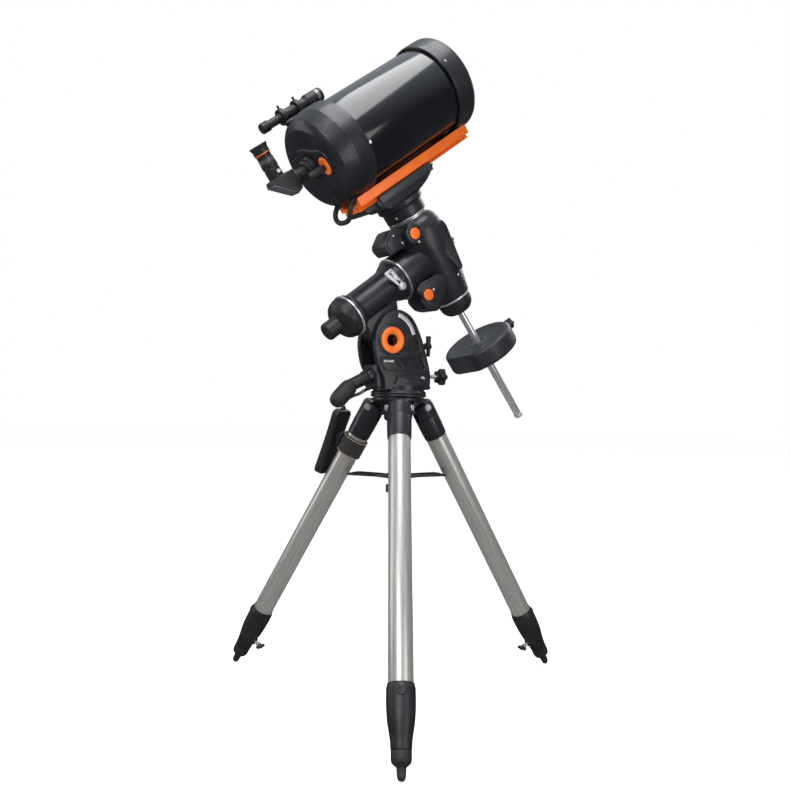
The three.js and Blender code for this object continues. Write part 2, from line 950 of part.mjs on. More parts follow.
function diagonal() {
  const barrel = alongY(ring(15.9, 13, -215, -160, 16));
  const prism = plateX(
    outlineOf([
      [-213, -24],
      [-213, 22],
      [DIAGONAL_Y - 21, 22],
      [DIAGONAL_Y - 26, 14],
      [-226, -30],
    ]),
    -21,
    21,
  );
  const neck = disc(17.5, 18, 46, 16).translate(0, DIAGONAL_Y, 0);
  const barrelPath = alongY(disc(13, -250, -150, 16));
  const eyepiecePath = disc(16.3, -2, 60, 16).translate(0, DIAGONAL_Y, 0);
  return cut(join(barrel, prism, neck), eyepiecePath, barrelPath);
}

function eyepiece() {
  return cut(
    turnedSolid(
      [
        [0, 8],
        [15.9, 8],
        [15.9, 46.3],
        [18, 46.3],
        [18, 60],
        [16.8, 62],
        [17, 78],
        [18.5, 80],
        [18.5, 92],
        [21.5, 99],
        [20, 101],
        [0, 101],
      ],
      16,
    ),
    disc(9, 92, 110, 12),
    disc(12, 0, 14, 12),
  ).translate(0, DIAGONAL_Y, 0);
}

const FINDER = { x: -73, z: 125 };

function finderScope() {
  return alongY(
    turnedSolid(
      [
        [0, -181],
        [11, -181],
        [12.5, -178],
        [12.5, -160],
        [10, -156],
        [10, -128],
        [13, -124],
        [13, -50],
        [17, -44],
        [17, -1],
        [15, 1],
        [15, -6],
        [0, -6],
      ],
      16,
    ),
  );
}

// Drawn with the finder's axis at the origin and the optical axis straight below.
function finderBracket() {
  const lift = hypot(FINDER.x, FINDER.z) - OTA_CELL_R - 2 * GAP;
  const rings = [-118, -72].map((y) => ring(19.5, 14.4, y - 6, y + 6, 16).rotateX(-PI / 2));
  const beam = box(-7, 7, -124, -66, -25, -17);
  const foot = box(-10, 10, -102, -66, -lift, -20);
  const screws = [-118, -72].flatMap((y) =>
    [45, 135].map((angle) => {
      const [x, z] = [cos(deg(angle)), sin(deg(angle))];
      return bar(V(13.6 * x, y, 13.6 * z), V(27 * x, y, 27 * z), 2.6, 6);
    }),
  );
  return join(...rings, beam, foot, ...screws);
}

// A hoop under the rear cell, its ends 0.5 mm clear of the cell's wall.
function carryHandle() {
  const route = new THREE.CatmullRomCurve3([
    V(-33, -120, -90),
    V(-35, -139, -106),
    V(-37, -152, -123),
    V(-29, -157, -138),
    V(0, -158, -143),
    V(29, -157, -138),
    V(37, -152, -123),
    V(35, -139, -106),
    V(33, -120, -90),
  ]);
  const hoop = new THREE.ExtrudeGeometry(shapeOf(circle(0, 0, 6, 8)), {
    steps: 18,
    extrudePath: route,
    bevelEnabled: false,
  });
  const clear = alongY(
    turnedSolid(
      [
        [0, -156.7],
        [80.5, -156.7],
        [93.8, -154.2],
        [104.7, -146.5],
        [112.8, -128],
        [116.2, -108],
        [116.2, -60],
        [0, -60],
      ],
      OTA_SIDES,
    ),
  );
  return cut(hoop, clear);
}

part("focus_knob", focusKnob(), BLACK_PLASTIC, ota).position.set(FOCUS.x, 0, FOCUS.z);
part("visual_back", visualBack(), BLACK_PLASTIC, ota);
part("diagonal", diagonal(), BLACK_PLASTIC, ota);
part("eyepiece", eyepiece(), BLACK_PLASTIC, ota);
part("finder_scope", finderScope(), BLACK_PLASTIC, ota).position.set(FINDER.x, 0, FINDER.z);
const bracket = part("finder_bracket", finderBracket(), BLACK_PLASTIC, ota);
bracket.position.set(FINDER.x, 0, FINDER.z);
bracket.rotation.y = -atan2(-FINDER.x, FINDER.z);
part("carry_handle", carryHandle(), BLACK_PLASTIC, ota);

export default telescope;
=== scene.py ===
"""The looks of a Schmidt-Cassegrain telescope on an equatorial mount and a steel tripod.

Lengths are millimetres until a piece is placed, and turn into metres there.
"""

from math import atan2, cos, hypot, pi, radians, sin

import bmesh
import bpy
from mathutils import Matrix, Vector


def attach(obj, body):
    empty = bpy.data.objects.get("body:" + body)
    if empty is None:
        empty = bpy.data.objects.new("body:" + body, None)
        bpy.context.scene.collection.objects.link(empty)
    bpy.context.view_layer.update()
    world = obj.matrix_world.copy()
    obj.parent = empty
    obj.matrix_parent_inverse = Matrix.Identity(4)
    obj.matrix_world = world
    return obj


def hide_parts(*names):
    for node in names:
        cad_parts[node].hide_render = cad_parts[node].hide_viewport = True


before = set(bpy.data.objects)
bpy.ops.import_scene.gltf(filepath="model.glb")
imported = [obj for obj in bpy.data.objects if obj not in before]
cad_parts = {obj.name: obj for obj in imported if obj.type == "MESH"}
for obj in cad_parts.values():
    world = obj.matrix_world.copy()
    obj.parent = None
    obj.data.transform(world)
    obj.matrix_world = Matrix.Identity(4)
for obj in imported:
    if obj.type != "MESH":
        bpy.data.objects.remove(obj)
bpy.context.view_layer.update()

# ---- places
MM = 0.001
FOOT_R = 480
PIVOT_R = 68
PIVOT_Z = 684
LEAN = atan2(FOOT_R - PIVOT_R, PIVOT_Z)
LEG_LENGTH = hypot(FOOT_R - PIVOT_R, PIVOT_Z)
LATITUDE = radians(36.5)
AZIMUTHS = {"a": -30, "b": 90, "c": 210}
AXLE_Y = -47
AXLE_Z = 841
OTA_Z = 323


def new_object(name, data):
    piece = bpy.data.objects.new(name, data)
    bpy.context.collection.objects.link(piece)
    return piece


def place(x=0.0, y=0.0, z=0.0):
    return Matrix.Translation(Vector((x, y, z)) * MM)


def turn(angle, axis):
    return Matrix.Rotation(angle, 4, axis)


TRIPOD = place(0, -48, 2.3)
EQUATORIAL = TRIPOD @ place(0, 80.8, 1057.3) @ turn(LATITUDE, "X")
OTA = EQUATORIAL @ place(0, 0, OTA_Z)
LEGS = {
    name: TRIPOD @ turn(radians(azimuth), "Z") @ place(PIVOT_R, 0, PIVOT_Z) @ turn(-LEAN, "Y")
    for name, azimuth in AZIMUTHS.items()
}
# A shape drawn about Z is laid along Y, or along X, or has its outline in Y and Z.
ALONG_Y = turn(-pi / 2, "X")
ALONG_X = turn(pi / 2, "Y")
SIDEWAYS = Matrix(((0, 0, 1, 0), (1, 0, 0, 0), (0, 1, 0, 0), (0, 0, 0, 1)))


# ---- shader nodes
MIX_FIRST = 6
MIX_SECOND = 7
MIX_RESULT = 2


def new_material(name):
    material = bpy.data.materials.new(name)
    material.use_nodes = True
    tree = material.node_tree
    return material, tree.nodes, tree.links, tree.nodes["Principled BSDF"]


def ramp_between(nodes, links, source, low, high, start=0.35, end=0.65):
    ramp = nodes.new("ShaderNodeValToRGB")
    ramp.color_ramp.elements[0].position = start
    ramp.color_ramp.elements[0].color = (*low, 1)
    ramp.color_ramp.elements[1].position = end
    ramp.color_ramp.elements[1].color = (*high, 1)
    links.new(source, ramp.inputs[0])
    return ramp.outputs[0]


def mixed(nodes, links, amount, first, second):
    """A blend of two colours; either may be the output of another node."""
    blend = nodes.new("ShaderNodeMix")
    blend.data_type = "RGBA"
    links.new(amount, blend.inputs[0])
    for socket, colour in ((MIX_FIRST, first), (MIX_SECOND, second)):
        if isinstance(colour, tuple):
            blend.inputs[socket].default_value = (*colour, 1)
        else:
            links.new(colour, blend.inputs[socket])
    return blend.outputs[MIX_RESULT]


def calculated(nodes, links, operation, first, second=None):
    """A number worked out from one or two others; second may be a number or an output."""
    node = nodes.new("ShaderNodeMath")
    node.operation = operation
    links.new(first, node.inputs[0])
    if isinstance(second, (int, float)):
        node.inputs[1].default_value = second
    elif second is not None:
        links.new(second, node.inputs[1])
    return node.outputs[0]


# ---- camera, light and floor
def make_camera():
    """The camera stands south-east of the tripod, at the height of the leg hinges."""
    azimuth = radians(58)
    distance = 2.1
    height = 0.722
    yaw = radians(0.221)
    pitch = radians(0.24)
    roll = radians(0.886)
    data = bpy.data.cameras.new("camera")
    data.sensor_width = 36
    data.lens = 39.96
    camera = new_object("camera", data)
    heading = azimuth + yaw
    right = Vector((cos(heading), sin(heading), 0))
    level = Vector((-sin(heading), cos(heading), 0))
    up = Vector((0, 0, 1))
    forward = level * cos(pitch) - up * sin(pitch)
    top = up * cos(pitch) + level * sin(pitch)
    side = right * cos(roll) + top * sin(roll)
    crown = top * cos(roll) - right * sin(roll)
    spot = TRIPOD @ Vector((sin(azimuth) * distance, -cos(azimuth) * distance, height))
    facing = Matrix((side, crown, -forward)).transposed().to_4x4()
    camera.matrix_world = Matrix.Translation(spot) @ facing
    bpy.context.scene.camera = camera


def area_light(name, spot, size, power):
    """A rectangular light that faces the telescope."""
    data = bpy.data.lights.new(name, "AREA")
    data.shape = "RECTANGLE"
    data.size = size[0]
    data.size_y = size[1]
    data.energy = power
    light = new_object(name, data)
    light.location = spot
    light.rotation_euler = (Vector(LIGHT_AIM) - Vector(spot)).to_track_quat("-Z", "Y").to_euler()


def make_world():
    """White to the camera, an even grey light, and reflections that brighten towards the top."""
    world = bpy.data.worlds.new("studio")
    world.use_nodes = True
    bpy.context.scene.world = world
    nodes = world.node_tree.nodes
    links = world.node_tree.links
    path = nodes.new("ShaderNodeLightPath")
    where = nodes.new("ShaderNodeTexCoord")
    split = nodes.new("ShaderNodeSeparateXYZ")
    links.new(where.outputs["Generated"], split.inputs[0])
    reflected = ramp_between(nodes, links, split.outputs["Z"], (0.07, 0.072, 0.08), (0.70, 0.75, 0.85),
        0.25, 0.95)
    room = mixed(nodes, links, path.outputs["Is Glossy Ray"], (0.50, 0.50, 0.51), reflected)
    seen = mixed(nodes, links, path.outputs["Is Camera Ray"], room, (1, 1, 1))
    links.new(seen, nodes["Background"].inputs[0])


# Each light's name, place, size and power; metres and watts.
LIGHTS = (
    ("key", (2.6, -3.2, 2.7), (2.2, 2.0), 78),
    ("top", (0.6, -0.35, 3.7), (1.7, 2.8), 66),
    ("left", (-2.0, -2.8, 1.8), (1.6, 2.8), 24),
    ("back", (-1.4, 2.8, 2.6), (2.8, 1.6), 46),
    ("right", (3.4, 0.6, 1.0), (1.6, 2.4), 28),
)
LIGHT_AIM = (0, 0, 0.9)
FLOOR_R = 14


def make_stage():
    """The lights, and a white floor that bright metal doesn't mirror."""
    for name, spot, size, power in LIGHTS:
        area_light(name, spot, size, power)
    mesh = bpy.data.meshes.new("floor")
    shape = bmesh.new()
    bmesh.ops.create_circle(shape, cap_ends=True, segments=96, radius=FLOOR_R)
    shape.to_mesh(mesh)
    shape.free()
    floor = new_object("floor", mesh)
    material, _, _, shader = new_material("floor")
    shader.inputs["Base Color"].default_value = (0.93, 0.93, 0.93, 1)
    shader.inputs["Roughness"].default_value = 0.9
    shader.inputs["Emission Color"].default_value = (1, 1, 1, 1)
    shader.inputs["Emission Strength"].default_value = 0.52
    mesh.materials.append(material)
    floor.visible_glossy = False


make_camera()
make_world()
make_stage()
bpy.context.scene.view_settings.view_transform = "Standard"


# ---- finishes
def noise_at(nodes, links, scale, detail=4.0, stretch=(1, 1, 1)):
    """Noise in the piece's own space, scale in cycles per metre."""
    where = nodes.new("ShaderNodeTexCoord")
    mapping = nodes.new("ShaderNodeMapping")
    noise = nodes.new("ShaderNodeTexNoise")
    mapping.inputs["Scale"].default_value = stretch
    noise.inputs["Scale"].default_value = scale
    noise.inputs["Detail"].default_value = detail
    links.new(where.outputs["Object"], mapping.inputs[0])
    links.new(mapping.outputs[0], noise.inputs["Vector"])
    return noise.outputs["Fac"]


def span(nodes, links, source, low, high, start=0.3, end=0.7):
    reach = nodes.new("ShaderNodeMapRange")
    reach.inputs["From Min"].default_value = start
    reach.inputs["From Max"].default_value = end
    reach.inputs["To Min"].default_value = low
    reach.inputs["To Max"].default_value = high
    links.new(source, reach.inputs["Value"])
    return reach.outputs[0]


def add_bump(nodes, links, shader, source, depth, strength=0.5):
    bump = nodes.new("ShaderNodeBump")
    bump.inputs["Strength"].default_value = strength
    bump.inputs["Distance"].default_value = depth * MM
    links.new(source, bump.inputs["Height"])
    links.new(bump.outputs[0], shader.inputs["Normal"])


def painted(name, dark, light, rough, grain, depth, metal=0.0, coat=0.0, wear=None):
    """Paint or moulded plastic: cloudy colour, uneven gloss, a fine skin and rubbed edges."""
    material, nodes, links, shader = new_material(name)
    clouds = noise_at(nodes, links, 14, 3)
    colour = ramp_between(nodes, links, clouds, dark, light)
    if wear:
        edge = nodes.new("ShaderNodeNewGeometry")
        rubbed = span(nodes, links, edge.outputs["Pointiness"], 0, 1, 0.53, 0.62)
        patchy = span(nodes, links, noise_at(nodes, links, 160, 4), 0, 0.6)
        worn = calculated(nodes, links, "MULTIPLY", rubbed, patchy)
        colour = mixed(nodes, links, worn, colour, wear)
    links.new(colour, shader.inputs["Base Color"])
    patches = noise_at(nodes, links, 60, 5)
    links.new(span(nodes, links, patches, rough[0], rough[1]), shader.inputs["Roughness"])
    shader.inputs["Metallic"].default_value = metal
    shader.inputs["Coat Weight"].default_value = coat
    shader.inputs["Coat Roughness"].default_value = 0.06
    add_bump(nodes, links, shader, noise_at(nodes, links, grain, 2), depth)
    return material


def bright_metal(name, dark, light, rough, stretch, depth=0.01, metal=1.0, scale=900):
    """Bare metal with fine brush lines along the short direction of stretch."""
    material, nodes, links, shader = new_material(name)
    lines = noise_at(nodes, links, scale, 6, stretch)
    links.new(ramp_between(nodes, links, lines, dark, light), shader.inputs["Base Color"])
    links.new(span(nodes, links, lines, rough[0], rough[1]), shader.inputs["Roughness"])
    shader.inputs["Metallic"].default_value = metal
    if depth:
        add_bump(nodes, links, shader, lines, depth, 0.35)
    return material


DIVISIONS = 72
MARK_WIDTH = 0.16


def setting_circle(name):
    """Satin metal with dark divisions round Z."""
    material, nodes, links, shader = new_material(name)
    where = nodes.new("ShaderNodeTexCoord")
    angle = nodes.new("ShaderNodeTexGradient")
    angle.gradient_type = "RADIAL"
    links.new(where.outputs["Object"], angle.inputs[0])
    spread = calculated(nodes, links, "MULTIPLY", angle.outputs["Fac"], DIVISIONS)
    part = calculated(nodes, links, "FRACT", spread)
    mark = calculated(nodes, links, "LESS_THAN", part, MARK_WIDTH)
    lines = noise_at(nodes, links, 500, 5)
    metal = ramp_between(nodes, links, lines, (0.50, 0.51, 0.52), (0.60, 0.61, 0.62))
    links.new(mixed(nodes, links, mark, metal, (0.12, 0.12, 0.12)), shader.inputs["Base Color"])
    links.new(span(nodes, links, lines, 0.28, 0.38), shader.inputs["Roughness"])
    shader.inputs["Metallic"].default_value = 0.9
    return material


def coated_glass(name):
    material, nodes, links, shader = new_material(name)
    film = noise_at(nodes, links, 9, 2)
    tint = ramp_between(nodes, links, film, (0.80, 0.90, 0.94), (0.90, 0.93, 0.98))
    links.new(tint, shader.inputs["Base Color"])
    dust = noise_at(nodes, links, 300, 6)
    links.new(span(nodes, links, dust, 0.01, 0.04), shader.inputs["Roughness"])
    shader.inputs["Transmission Weight"].default_value = 0.95
    shader.inputs["IOR"].default_value = 1.45
    return material


THREADS_PER_METRE = 260


def webbing(name):
    """Woven strap: crossed threads."""
    material, nodes, links, shader = new_material(name)
    where = nodes.new("ShaderNodeTexCoord")
    heights = []
    for axis in ("X", "Z"):
        wave = nodes.new("ShaderNodeTexWave")
        wave.bands_direction = axis
        wave.inputs["Scale"].default_value = THREADS_PER_METRE
        wave.inputs["Distortion"].default_value = 0.6
        links.new(where.outputs["Object"], wave.inputs["Vector"])
        heights.append(wave.outputs["Fac"])
    weave = calculated(nodes, links, "MAXIMUM", heights[0], heights[1])
    colour = ramp_between(nodes, links, weave, (0.005, 0.005, 0.006), (0.018, 0.0175, 0.0175))
    links.new(colour, shader.inputs["Base Color"])
    shader.inputs["Roughness"].default_value = 0.85
    shader.inputs["Sheen Weight"].default_value = 0.05
    add_bump(nodes, links, shader, weave, 0.3, 0.8)
    return material


METAL_WEAR = (0.09, 0.095, 0.105)
PLASTIC_WEAR = (0.06, 0.06, 0.065)
ORANGE_WEAR = (0.95, 0.45, 0.2)
NO_STRETCH = (1, 1, 1)

# Each finish is its material and the slot of the record it belongs to.
FINISHES = {
    "casting": (painted("charcoal paint", (0.006, 0.0068, 0.0088), (0.010, 0.0115, 0.0145),
        (0.30, 0.42), 1500, 0.06, coat=0.12, wear=METAL_WEAR), "casting"),
    "iron": (painted("charcoal paint on iron", (0.009, 0.010, 0.012), (0.014, 0.0155, 0.019),
        (0.40, 0.52), 1500, 0.08, coat=0.08, wear=METAL_WEAR), "cast_iron"),
    "gloss": (painted("gloss black enamel", (0.0018, 0.0023, 0.0034), (0.003, 0.0038, 0.0055),
        (0.15, 0.20), 60, 0.004, coat=0.6), "gloss_black"),
    "plastic": (painted("black moulded plastic", (0.006, 0.0067, 0.008), (0.010, 0.011, 0.013),
        (0.38, 0.50), 2600, 0.05, wear=PLASTIC_WEAR), "black_plastic"),
    "grip": (painted("black grip rubber", (0.007, 0.007, 0.008), (0.012, 0.012, 0.013), (0.52, 0.66),
        1800, 0.12), "black_plastic"),
    "orange": (painted("orange anodised metal", (0.66, 0.112, 0.008), (0.76, 0.150, 0.014),
        (0.30, 0.40), 1200, 0.03, metal=0.25, coat=0.2, wear=ORANGE_WEAR), "orange"),
    "stainless": (bright_metal("brushed stainless steel", (0.40, 0.385, 0.36), (0.54, 0.525, 0.50),
        (0.26, 0.38), (1, 1, 0.015), metal=0.7), "stainless"),
    "silver": (bright_metal("satin bright metal", (0.52, 0.53, 0.54), (0.64, 0.65, 0.66), (0.26, 0.38),
        NO_STRETCH, metal=0.75), "silver"),
    "chrome": (bright_metal("polished chrome", (0.66, 0.67, 0.69), (0.70, 0.71, 0.73), (0.11, 0.13),
        (1, 1, 0.05), 0, 0.8, 90), "chrome"),
    "circle": (setting_circle("setting circle metal"), "silver"),
    "glass": (coated_glass("coated glass"), "glass"),
    "mirror": (bright_metal("mirror coating", (0.90, 0.91, 0.92), (0.94, 0.95, 0.96), (0.01, 0.03),
        NO_STRETCH, 0), "mirror"),
    "webbing": (webbing("woven webbing"), "webbing"),
    "cord": (painted("cord jacket", (0.009, 0.009, 0.010), (0.016, 0.016, 0.017), (0.38, 0.5), 1400,
        0.05), "cord"),
    "cover": (painted("grey anodised cover", (0.08, 0.083, 0.09), (0.12, 0.123, 0.13), (0.30, 0.42),
        900, 0.03, metal=0.6), "black_plastic"),
    "stitching": (painted("tan stitching", (0.30, 0.22, 0.14), (0.40, 0.30, 0.19), (0.7, 0.8), 1400,
        0.2), "webbing"),
    "white": (painted("white print", (0.72, 0.72, 0.70), (0.82, 0.82, 0.80), (0.5, 0.6), 900, 0.02),
        "silver"),
}


# ---- shapes, in millimetres
def rounded(points, radius, closed, steps=3):
    """Rounds the corners of a line, apart from its two ends where it is open."""
    count = len(points)
    line = []
    for i, here in enumerate(points):
        if not closed and i in (0, count - 1):
            line.append(tuple(here))
            continue
        corner = Vector(here)
        before = Vector(points[i - 1]) - corner
        after = Vector(points[(i + 1) % count]) - corner
        reach = min(radius, 0.45 * before.length, 0.45 * after.length)
        start = corner + before.normalized() * reach
        end = corner + after.normalized() * reach
        for step in range(steps + 1):
            t = step / steps
            line.append(tuple(start.lerp(corner, t).lerp(corner.lerp(end, t), t)))
    return line


def lathe(points, soft=0.8, sides=96):
    """Turns a [radius, height] line about Z. It closes on itself, or starts and ends on the axis."""
    closed = points[0][0] > 0 or points[-1][0] > 0
    shape = bmesh.new()
    rings = []
    for radius, height in rounded(points, soft, closed):
        if radius < 1e-4:
            rings.append([shape.verts.new((0, 0, height))] * sides)
            continue
        around = [2 * pi * i / sides for i in range(sides)]
        rings.append([shape.verts.new((radius * sin(a), -radius * cos(a), height)) for a in around])
    following = rings[1:] + ([rings[0]] if closed else [])
    for low, high in zip(rings, following):
        for i in range(sides):
            j = (i + 1) % sides
            corners = list(dict.fromkeys((low[i], low[j], high[j], high[i])))
            if len(corners) > 2:
                shape.faces.new(corners)
    bmesh.ops.recalc_face_normals(shape, faces=shape.faces)
    return shape


def ring(outer, inner, low, high, soft=0.6, sides=96):
    return lathe([(inner, low), (outer, low), (outer, high), (inner, high)], soft, sides)


def disc(radius, low, high, soft=0.6, sides=96):
    return lathe([(0, low), (radius, low), (radius, high), (0, high)], soft, sides)


def moved(shape, matrix):
    """A matrix in metres, applied to a shape in millimetres."""
    local = matrix.copy()
    local.translation = matrix.translation / MM
    shape.transform(local)
    return shape


def rod(start, end, radius, end_radius=None, soft=0.6, sides=32):
    start = Vector(start)
    along = Vector(end) - start
    far = radius if end_radius is None else end_radius
    shape = lathe([(0, 0), (radius, 0), (far, along.length), (0, along.length)], soft, sides)
    shape.transform(Matrix.Translation(start) @ along.to_track_quat("Z", "Y").to_matrix().to_4x4())
    return shape


def sliced(shape, point, outward):
    """Cuts a shape off flat at a plane, away from its outward side."""
    everything = shape.verts[:] + shape.edges[:] + shape.faces[:]
    bmesh.ops.bisect_plane(shape, geom=everything, plane_co=point, plane_no=outward, clear_outer=True)
    bmesh.ops.holes_fill(shape, edges=[edge for edge in shape.edges if edge.is_boundary], sides=0)
    bmesh.ops.recalc_face_normals(shape, faces=shape.faces)
    return shape


def block(x, y, z, soft=1.0, steps=2):
    """A box from the low and high values on each axis, with rounded edges."""
    shape = bmesh.new()
    bmesh.ops.create_cube(shape, size=1)
    size = Vector((x[1] - x[0], y[1] - y[0], z[1] - z[0]))
    middle = Vector((x[0] + x[1], y[0] + y[1], z[0] + z[1])) / 2
    shape.transform(Matrix.Translation(middle) @ Matrix.Diagonal((*size, 1)))
    if soft:
        bmesh.ops.bevel(shape, geom=shape.edges[:], offset=soft, segments=steps, affect="EDGES",
            profile=0.5)
    return shape


def between(before, start, end, after, t):
    """A place on the smooth line from start to end that follows the points on either side."""
    slope = end - before
    bend = 2 * before - 5 * start + 4 * end - after
    twist = 3 * start - before - 3 * end + after
    return 0.5 * (2 * start + slope * t + bend * t**2 + twist * t**3)


def smooth(points, count):
    """A closed smooth outline through a few points."""
    result = []
    total = len(points)
    for step in range(count):
        spot = step * total / count
        i = int(spot)
        four = [Vector(points[(i + k) % total]) for k in (-1, 0, 1, 2)]
        result.append(tuple(between(*four, spot - i)))
    return result


def mirrored(points):
    """A line and its mirror image in X, back the other way."""
    return points + [(-x, y) for x, y in reversed(points)]


def arc(x, y, radius, angles):
    return [(x + radius * cos(angle), y + radius * sin(angle)) for angle in angles]


def circle(x, y, radius, sides=48):
    return arc(x, y, radius, [2 * pi * i / sides for i in range(sides)])


def add_line(curve, kind, points):
    line = curve.splines.new(kind)
    line.points.add(len(points) - 1)
    for point, spot in zip(line.points, points):
        point.co = (*spot, 1)
    return line


def mesh_of_curve(curve):
    """The mesh a curve makes, as a shape."""
    holder = new_object("outline", curve)
    bpy.context.view_layer.update()
    seen = holder.evaluated_get(bpy.context.evaluated_depsgraph_get())
    shape = bmesh.new()
    shape.from_mesh(seen.to_mesh())
    seen.to_mesh_clear()
    bpy.data.objects.remove(holder)
    bpy.data.curves.remove(curve)
    bmesh.ops.remove_doubles(shape, verts=shape.verts, dist=1e-3)
    bmesh.ops.recalc_face_normals(shape, faces=shape.faces)
    return shape


def plate(outline, low, high, soft=1.0, holes=(), corner=0.0):
    """An outline in X and Y raised along Z, with rounded edges and through holes."""
    curve = bpy.data.curves.new("outline", "CURVE")
    curve.dimensions = "2D"
    curve.fill_mode = "BOTH"
    curve.extrude = (high - low) / 2 - soft
    curve.bevel_depth = soft
    curve.bevel_resolution = 2
    curve.offset = -soft
    outer = rounded(outline, corner, True) if corner else outline
    for points in (outer, *holes):
        line = add_line(curve, "POLY", [(x, y, 0) for x, y in points])
        line.use_cyclic_u = True
    shape = mesh_of_curve(curve)
    bmesh.ops.translate(shape, verts=shape.verts, vec=(0, 0, (low + high) / 2))
    return shape


def side_plate(outline, low, high, soft=1.0, holes=(), corner=0.0):
    """The same with the outline in Y and Z, raised along X."""
    shape = plate(outline, low, high, soft, holes, corner)
    shape.transform(SIDEWAYS)
    return shape


def hose(points, radius, sides=8):
    """A round bar along a smooth line through a few points."""
    curve = bpy.data.curves.new("outline", "CURVE")
    curve.dimensions = "3D"
    curve.bevel_depth = radius
    curve.bevel_resolution = sides
    curve.use_fill_caps = True
    curve.resolution_u = 12
    line = add_line(curve, "NURBS", points)
    line.use_endpoint_u = True
    line.order_u = 4
    return mesh_of_curve(curve)


def joined(*shapes):
    whole = bmesh.new()
    for shape in shapes:
        mesh = bpy.data.meshes.new("part")
        shape.to_mesh(mesh)
        whole.from_mesh(mesh)
        bpy.data.meshes.remove(mesh)
        shape.free()
    return whole


def star(radius, low, high, lobes=5, soft=2.5):
    """A knob with lobes round Z."""
    outline = []
    for i in range(lobes * 16):
        angle = 2 * pi * i / (lobes * 16)
        reach = radius * (0.86 + 0.14 * cos(lobes * angle))
        outline.append((reach * cos(angle), reach * sin(angle)))
    return plate(outline, low, high, soft)


def repeated(count, make):
    """The shapes that make gives, spread evenly round Z."""
    return [moved(make(), turn(2 * pi * i / count, "Z")) for i in range(count)]


def hexagon(radius, low, high, soft=0.5):
    return plate(circle(0, 0, radius, 6), low, high, soft)


# ---- pieces
# Their brush lines, threads or divisions follow the piece's own axes.
WITH_OWN_AXES = ("stainless", "chrome", "circle", "webbing")


def add(name, shape, finish, body, at, nodes=()):
    """Puts a shape in place as a piece of the body, in place of the CAD nodes named."""
    mesh = bpy.data.meshes.new(name)
    if finish not in WITH_OWN_AXES:
        moved(shape, at)
        at = Matrix.Identity(4)
    shape.transform(Matrix.Scale(MM, 4))
    shape.to_mesh(mesh)
    shape.free()
    mesh.polygons.foreach_set("use_smooth", [True] * len(mesh.polygons))
    mesh.set_sharp_from_angle(angle=radians(32))
    material, slot = FINISHES[finish]
    mesh.materials.append(material)
    piece = new_object(name, mesh)
    piece.matrix_world = at
    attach(piece, body)
    if nodes:
        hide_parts(*nodes)


def keep(node, finish):
    """A CAD node whose shape is right gets its finish."""
    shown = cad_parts[node]
    material = FINISHES[finish][0]
    shown.data.materials.clear()
    shown.data.materials.append(material)


def screw(name, body, at, radius=2.6, height=1.6, finish="silver"):
    """A pan-head screw with a socket, standing on the face at Z = 0."""
    head = lathe([(0, -1), (radius, -1), (radius, height * 0.5), (radius * 0.6, height),
        (radius * 0.42, height), (radius * 0.42, height * 0.3), (0, height * 0.3)], 0.25, 20)
    add(name, head, finish, body, at)


# ---- the curly cord
# The route runs in the upright plane of leg c: outwards from the tripod's axis, and up.
CORD_R = 1.5
COIL_R = 2.9
COIL_TURNS = 22
TAIL = 0.10
TAIL_STEPS = 9
PORT_Z = 730
CORD_ROUTE = [(151.6, 683.9), (147, 695), (138, 704), (124, 710), (108, 715), (93, 723.5), (79, 729.5),
    (64.5, PORT_Z)]


def route_point(t):
    """A place along the cord's route, t from 0 at the mount to 1 at the controller."""
    last = len(CORD_ROUTE) - 1
    spot = min(t, 0.99999) * last
    i = int(spot)
    four = [Vector(CORD_ROUTE[last - min(max(i + k, 0), last)]) for k in (-1, 0, 1, 2)]
    return between(*four, spot - i)


def cord_line():
    """Straight tails at both ends and a helix between them, in the upright plane of leg c."""
    steps = COIL_TURNS * 16
    spots = []
    for i in range(TAIL_STEPS):
        p = route_point(TAIL * i / TAIL_STEPS)
        spots.append((p.x, 0, p.y))
    for i in range(steps + 1):
        t = TAIL + (1 - 2 * TAIL) * i / steps
        p = route_point(t)
        ahead = (route_point(t + 0.01) - route_point(t - 0.01)).normalized()
        normal = Vector((-ahead.y, ahead.x))
        ease = min(1, i / 20, (steps - i) / 20)
        swing = COIL_R * ease * ease * (3 - 2 * ease)
        angle = 2 * pi * COIL_TURNS * i / steps
        out = swing * cos(angle)
        spots.append((p.x + normal.x * out, swing * sin(angle), p.y + normal.y * out))
    for i in range(1, TAIL_STEPS + 1):
        p = route_point(1 - TAIL + TAIL * i / TAIL_STEPS)
        spots.append((p.x, 0, p.y))
    return spots


def make_cord():
    """The curly cord as a curve piece on leg c, and the boot of its plug."""
    curve = bpy.data.curves.new("controller_curly_cord", "CURVE")
    curve.dimensions = "3D"
    curve.bevel_depth = CORD_R * MM
    curve.bevel_resolution = 3
    curve.use_fill_caps = True
    into_place = TRIPOD @ turn(radians(AZIMUTHS["c"]), "Z")
    placed = [into_place @ (Vector(spot) * MM) for spot in cord_line()]
    add_line(curve, "POLY", placed)
    material, slot = FINISHES["cord"]
    curve.materials.append(material)
    piece = new_object("controller_curly_cord", curve)
    length = sum((b - a).length for a, b in zip(placed, placed[1:]))
    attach(piece, "leg_c")
    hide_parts("controller_cord")
    tuple(placed[0])
    boot = lathe([(0, 0), (4.2, 0), (4.2, 4), (3.2, 7), (2.2, 13), (0, 13)], 0.5, 32)
    add("cord_plug_boot", boot, "grip", "leg_c", into_place @ place(64.6, 0, PORT_Z) @ turn(pi / 2, "Y"))


make_cord()


# ---- tripod head and tray
HEAD_TOP = 707.5
TRAY_Z = 516
TRAY_BORE_R = 6.4


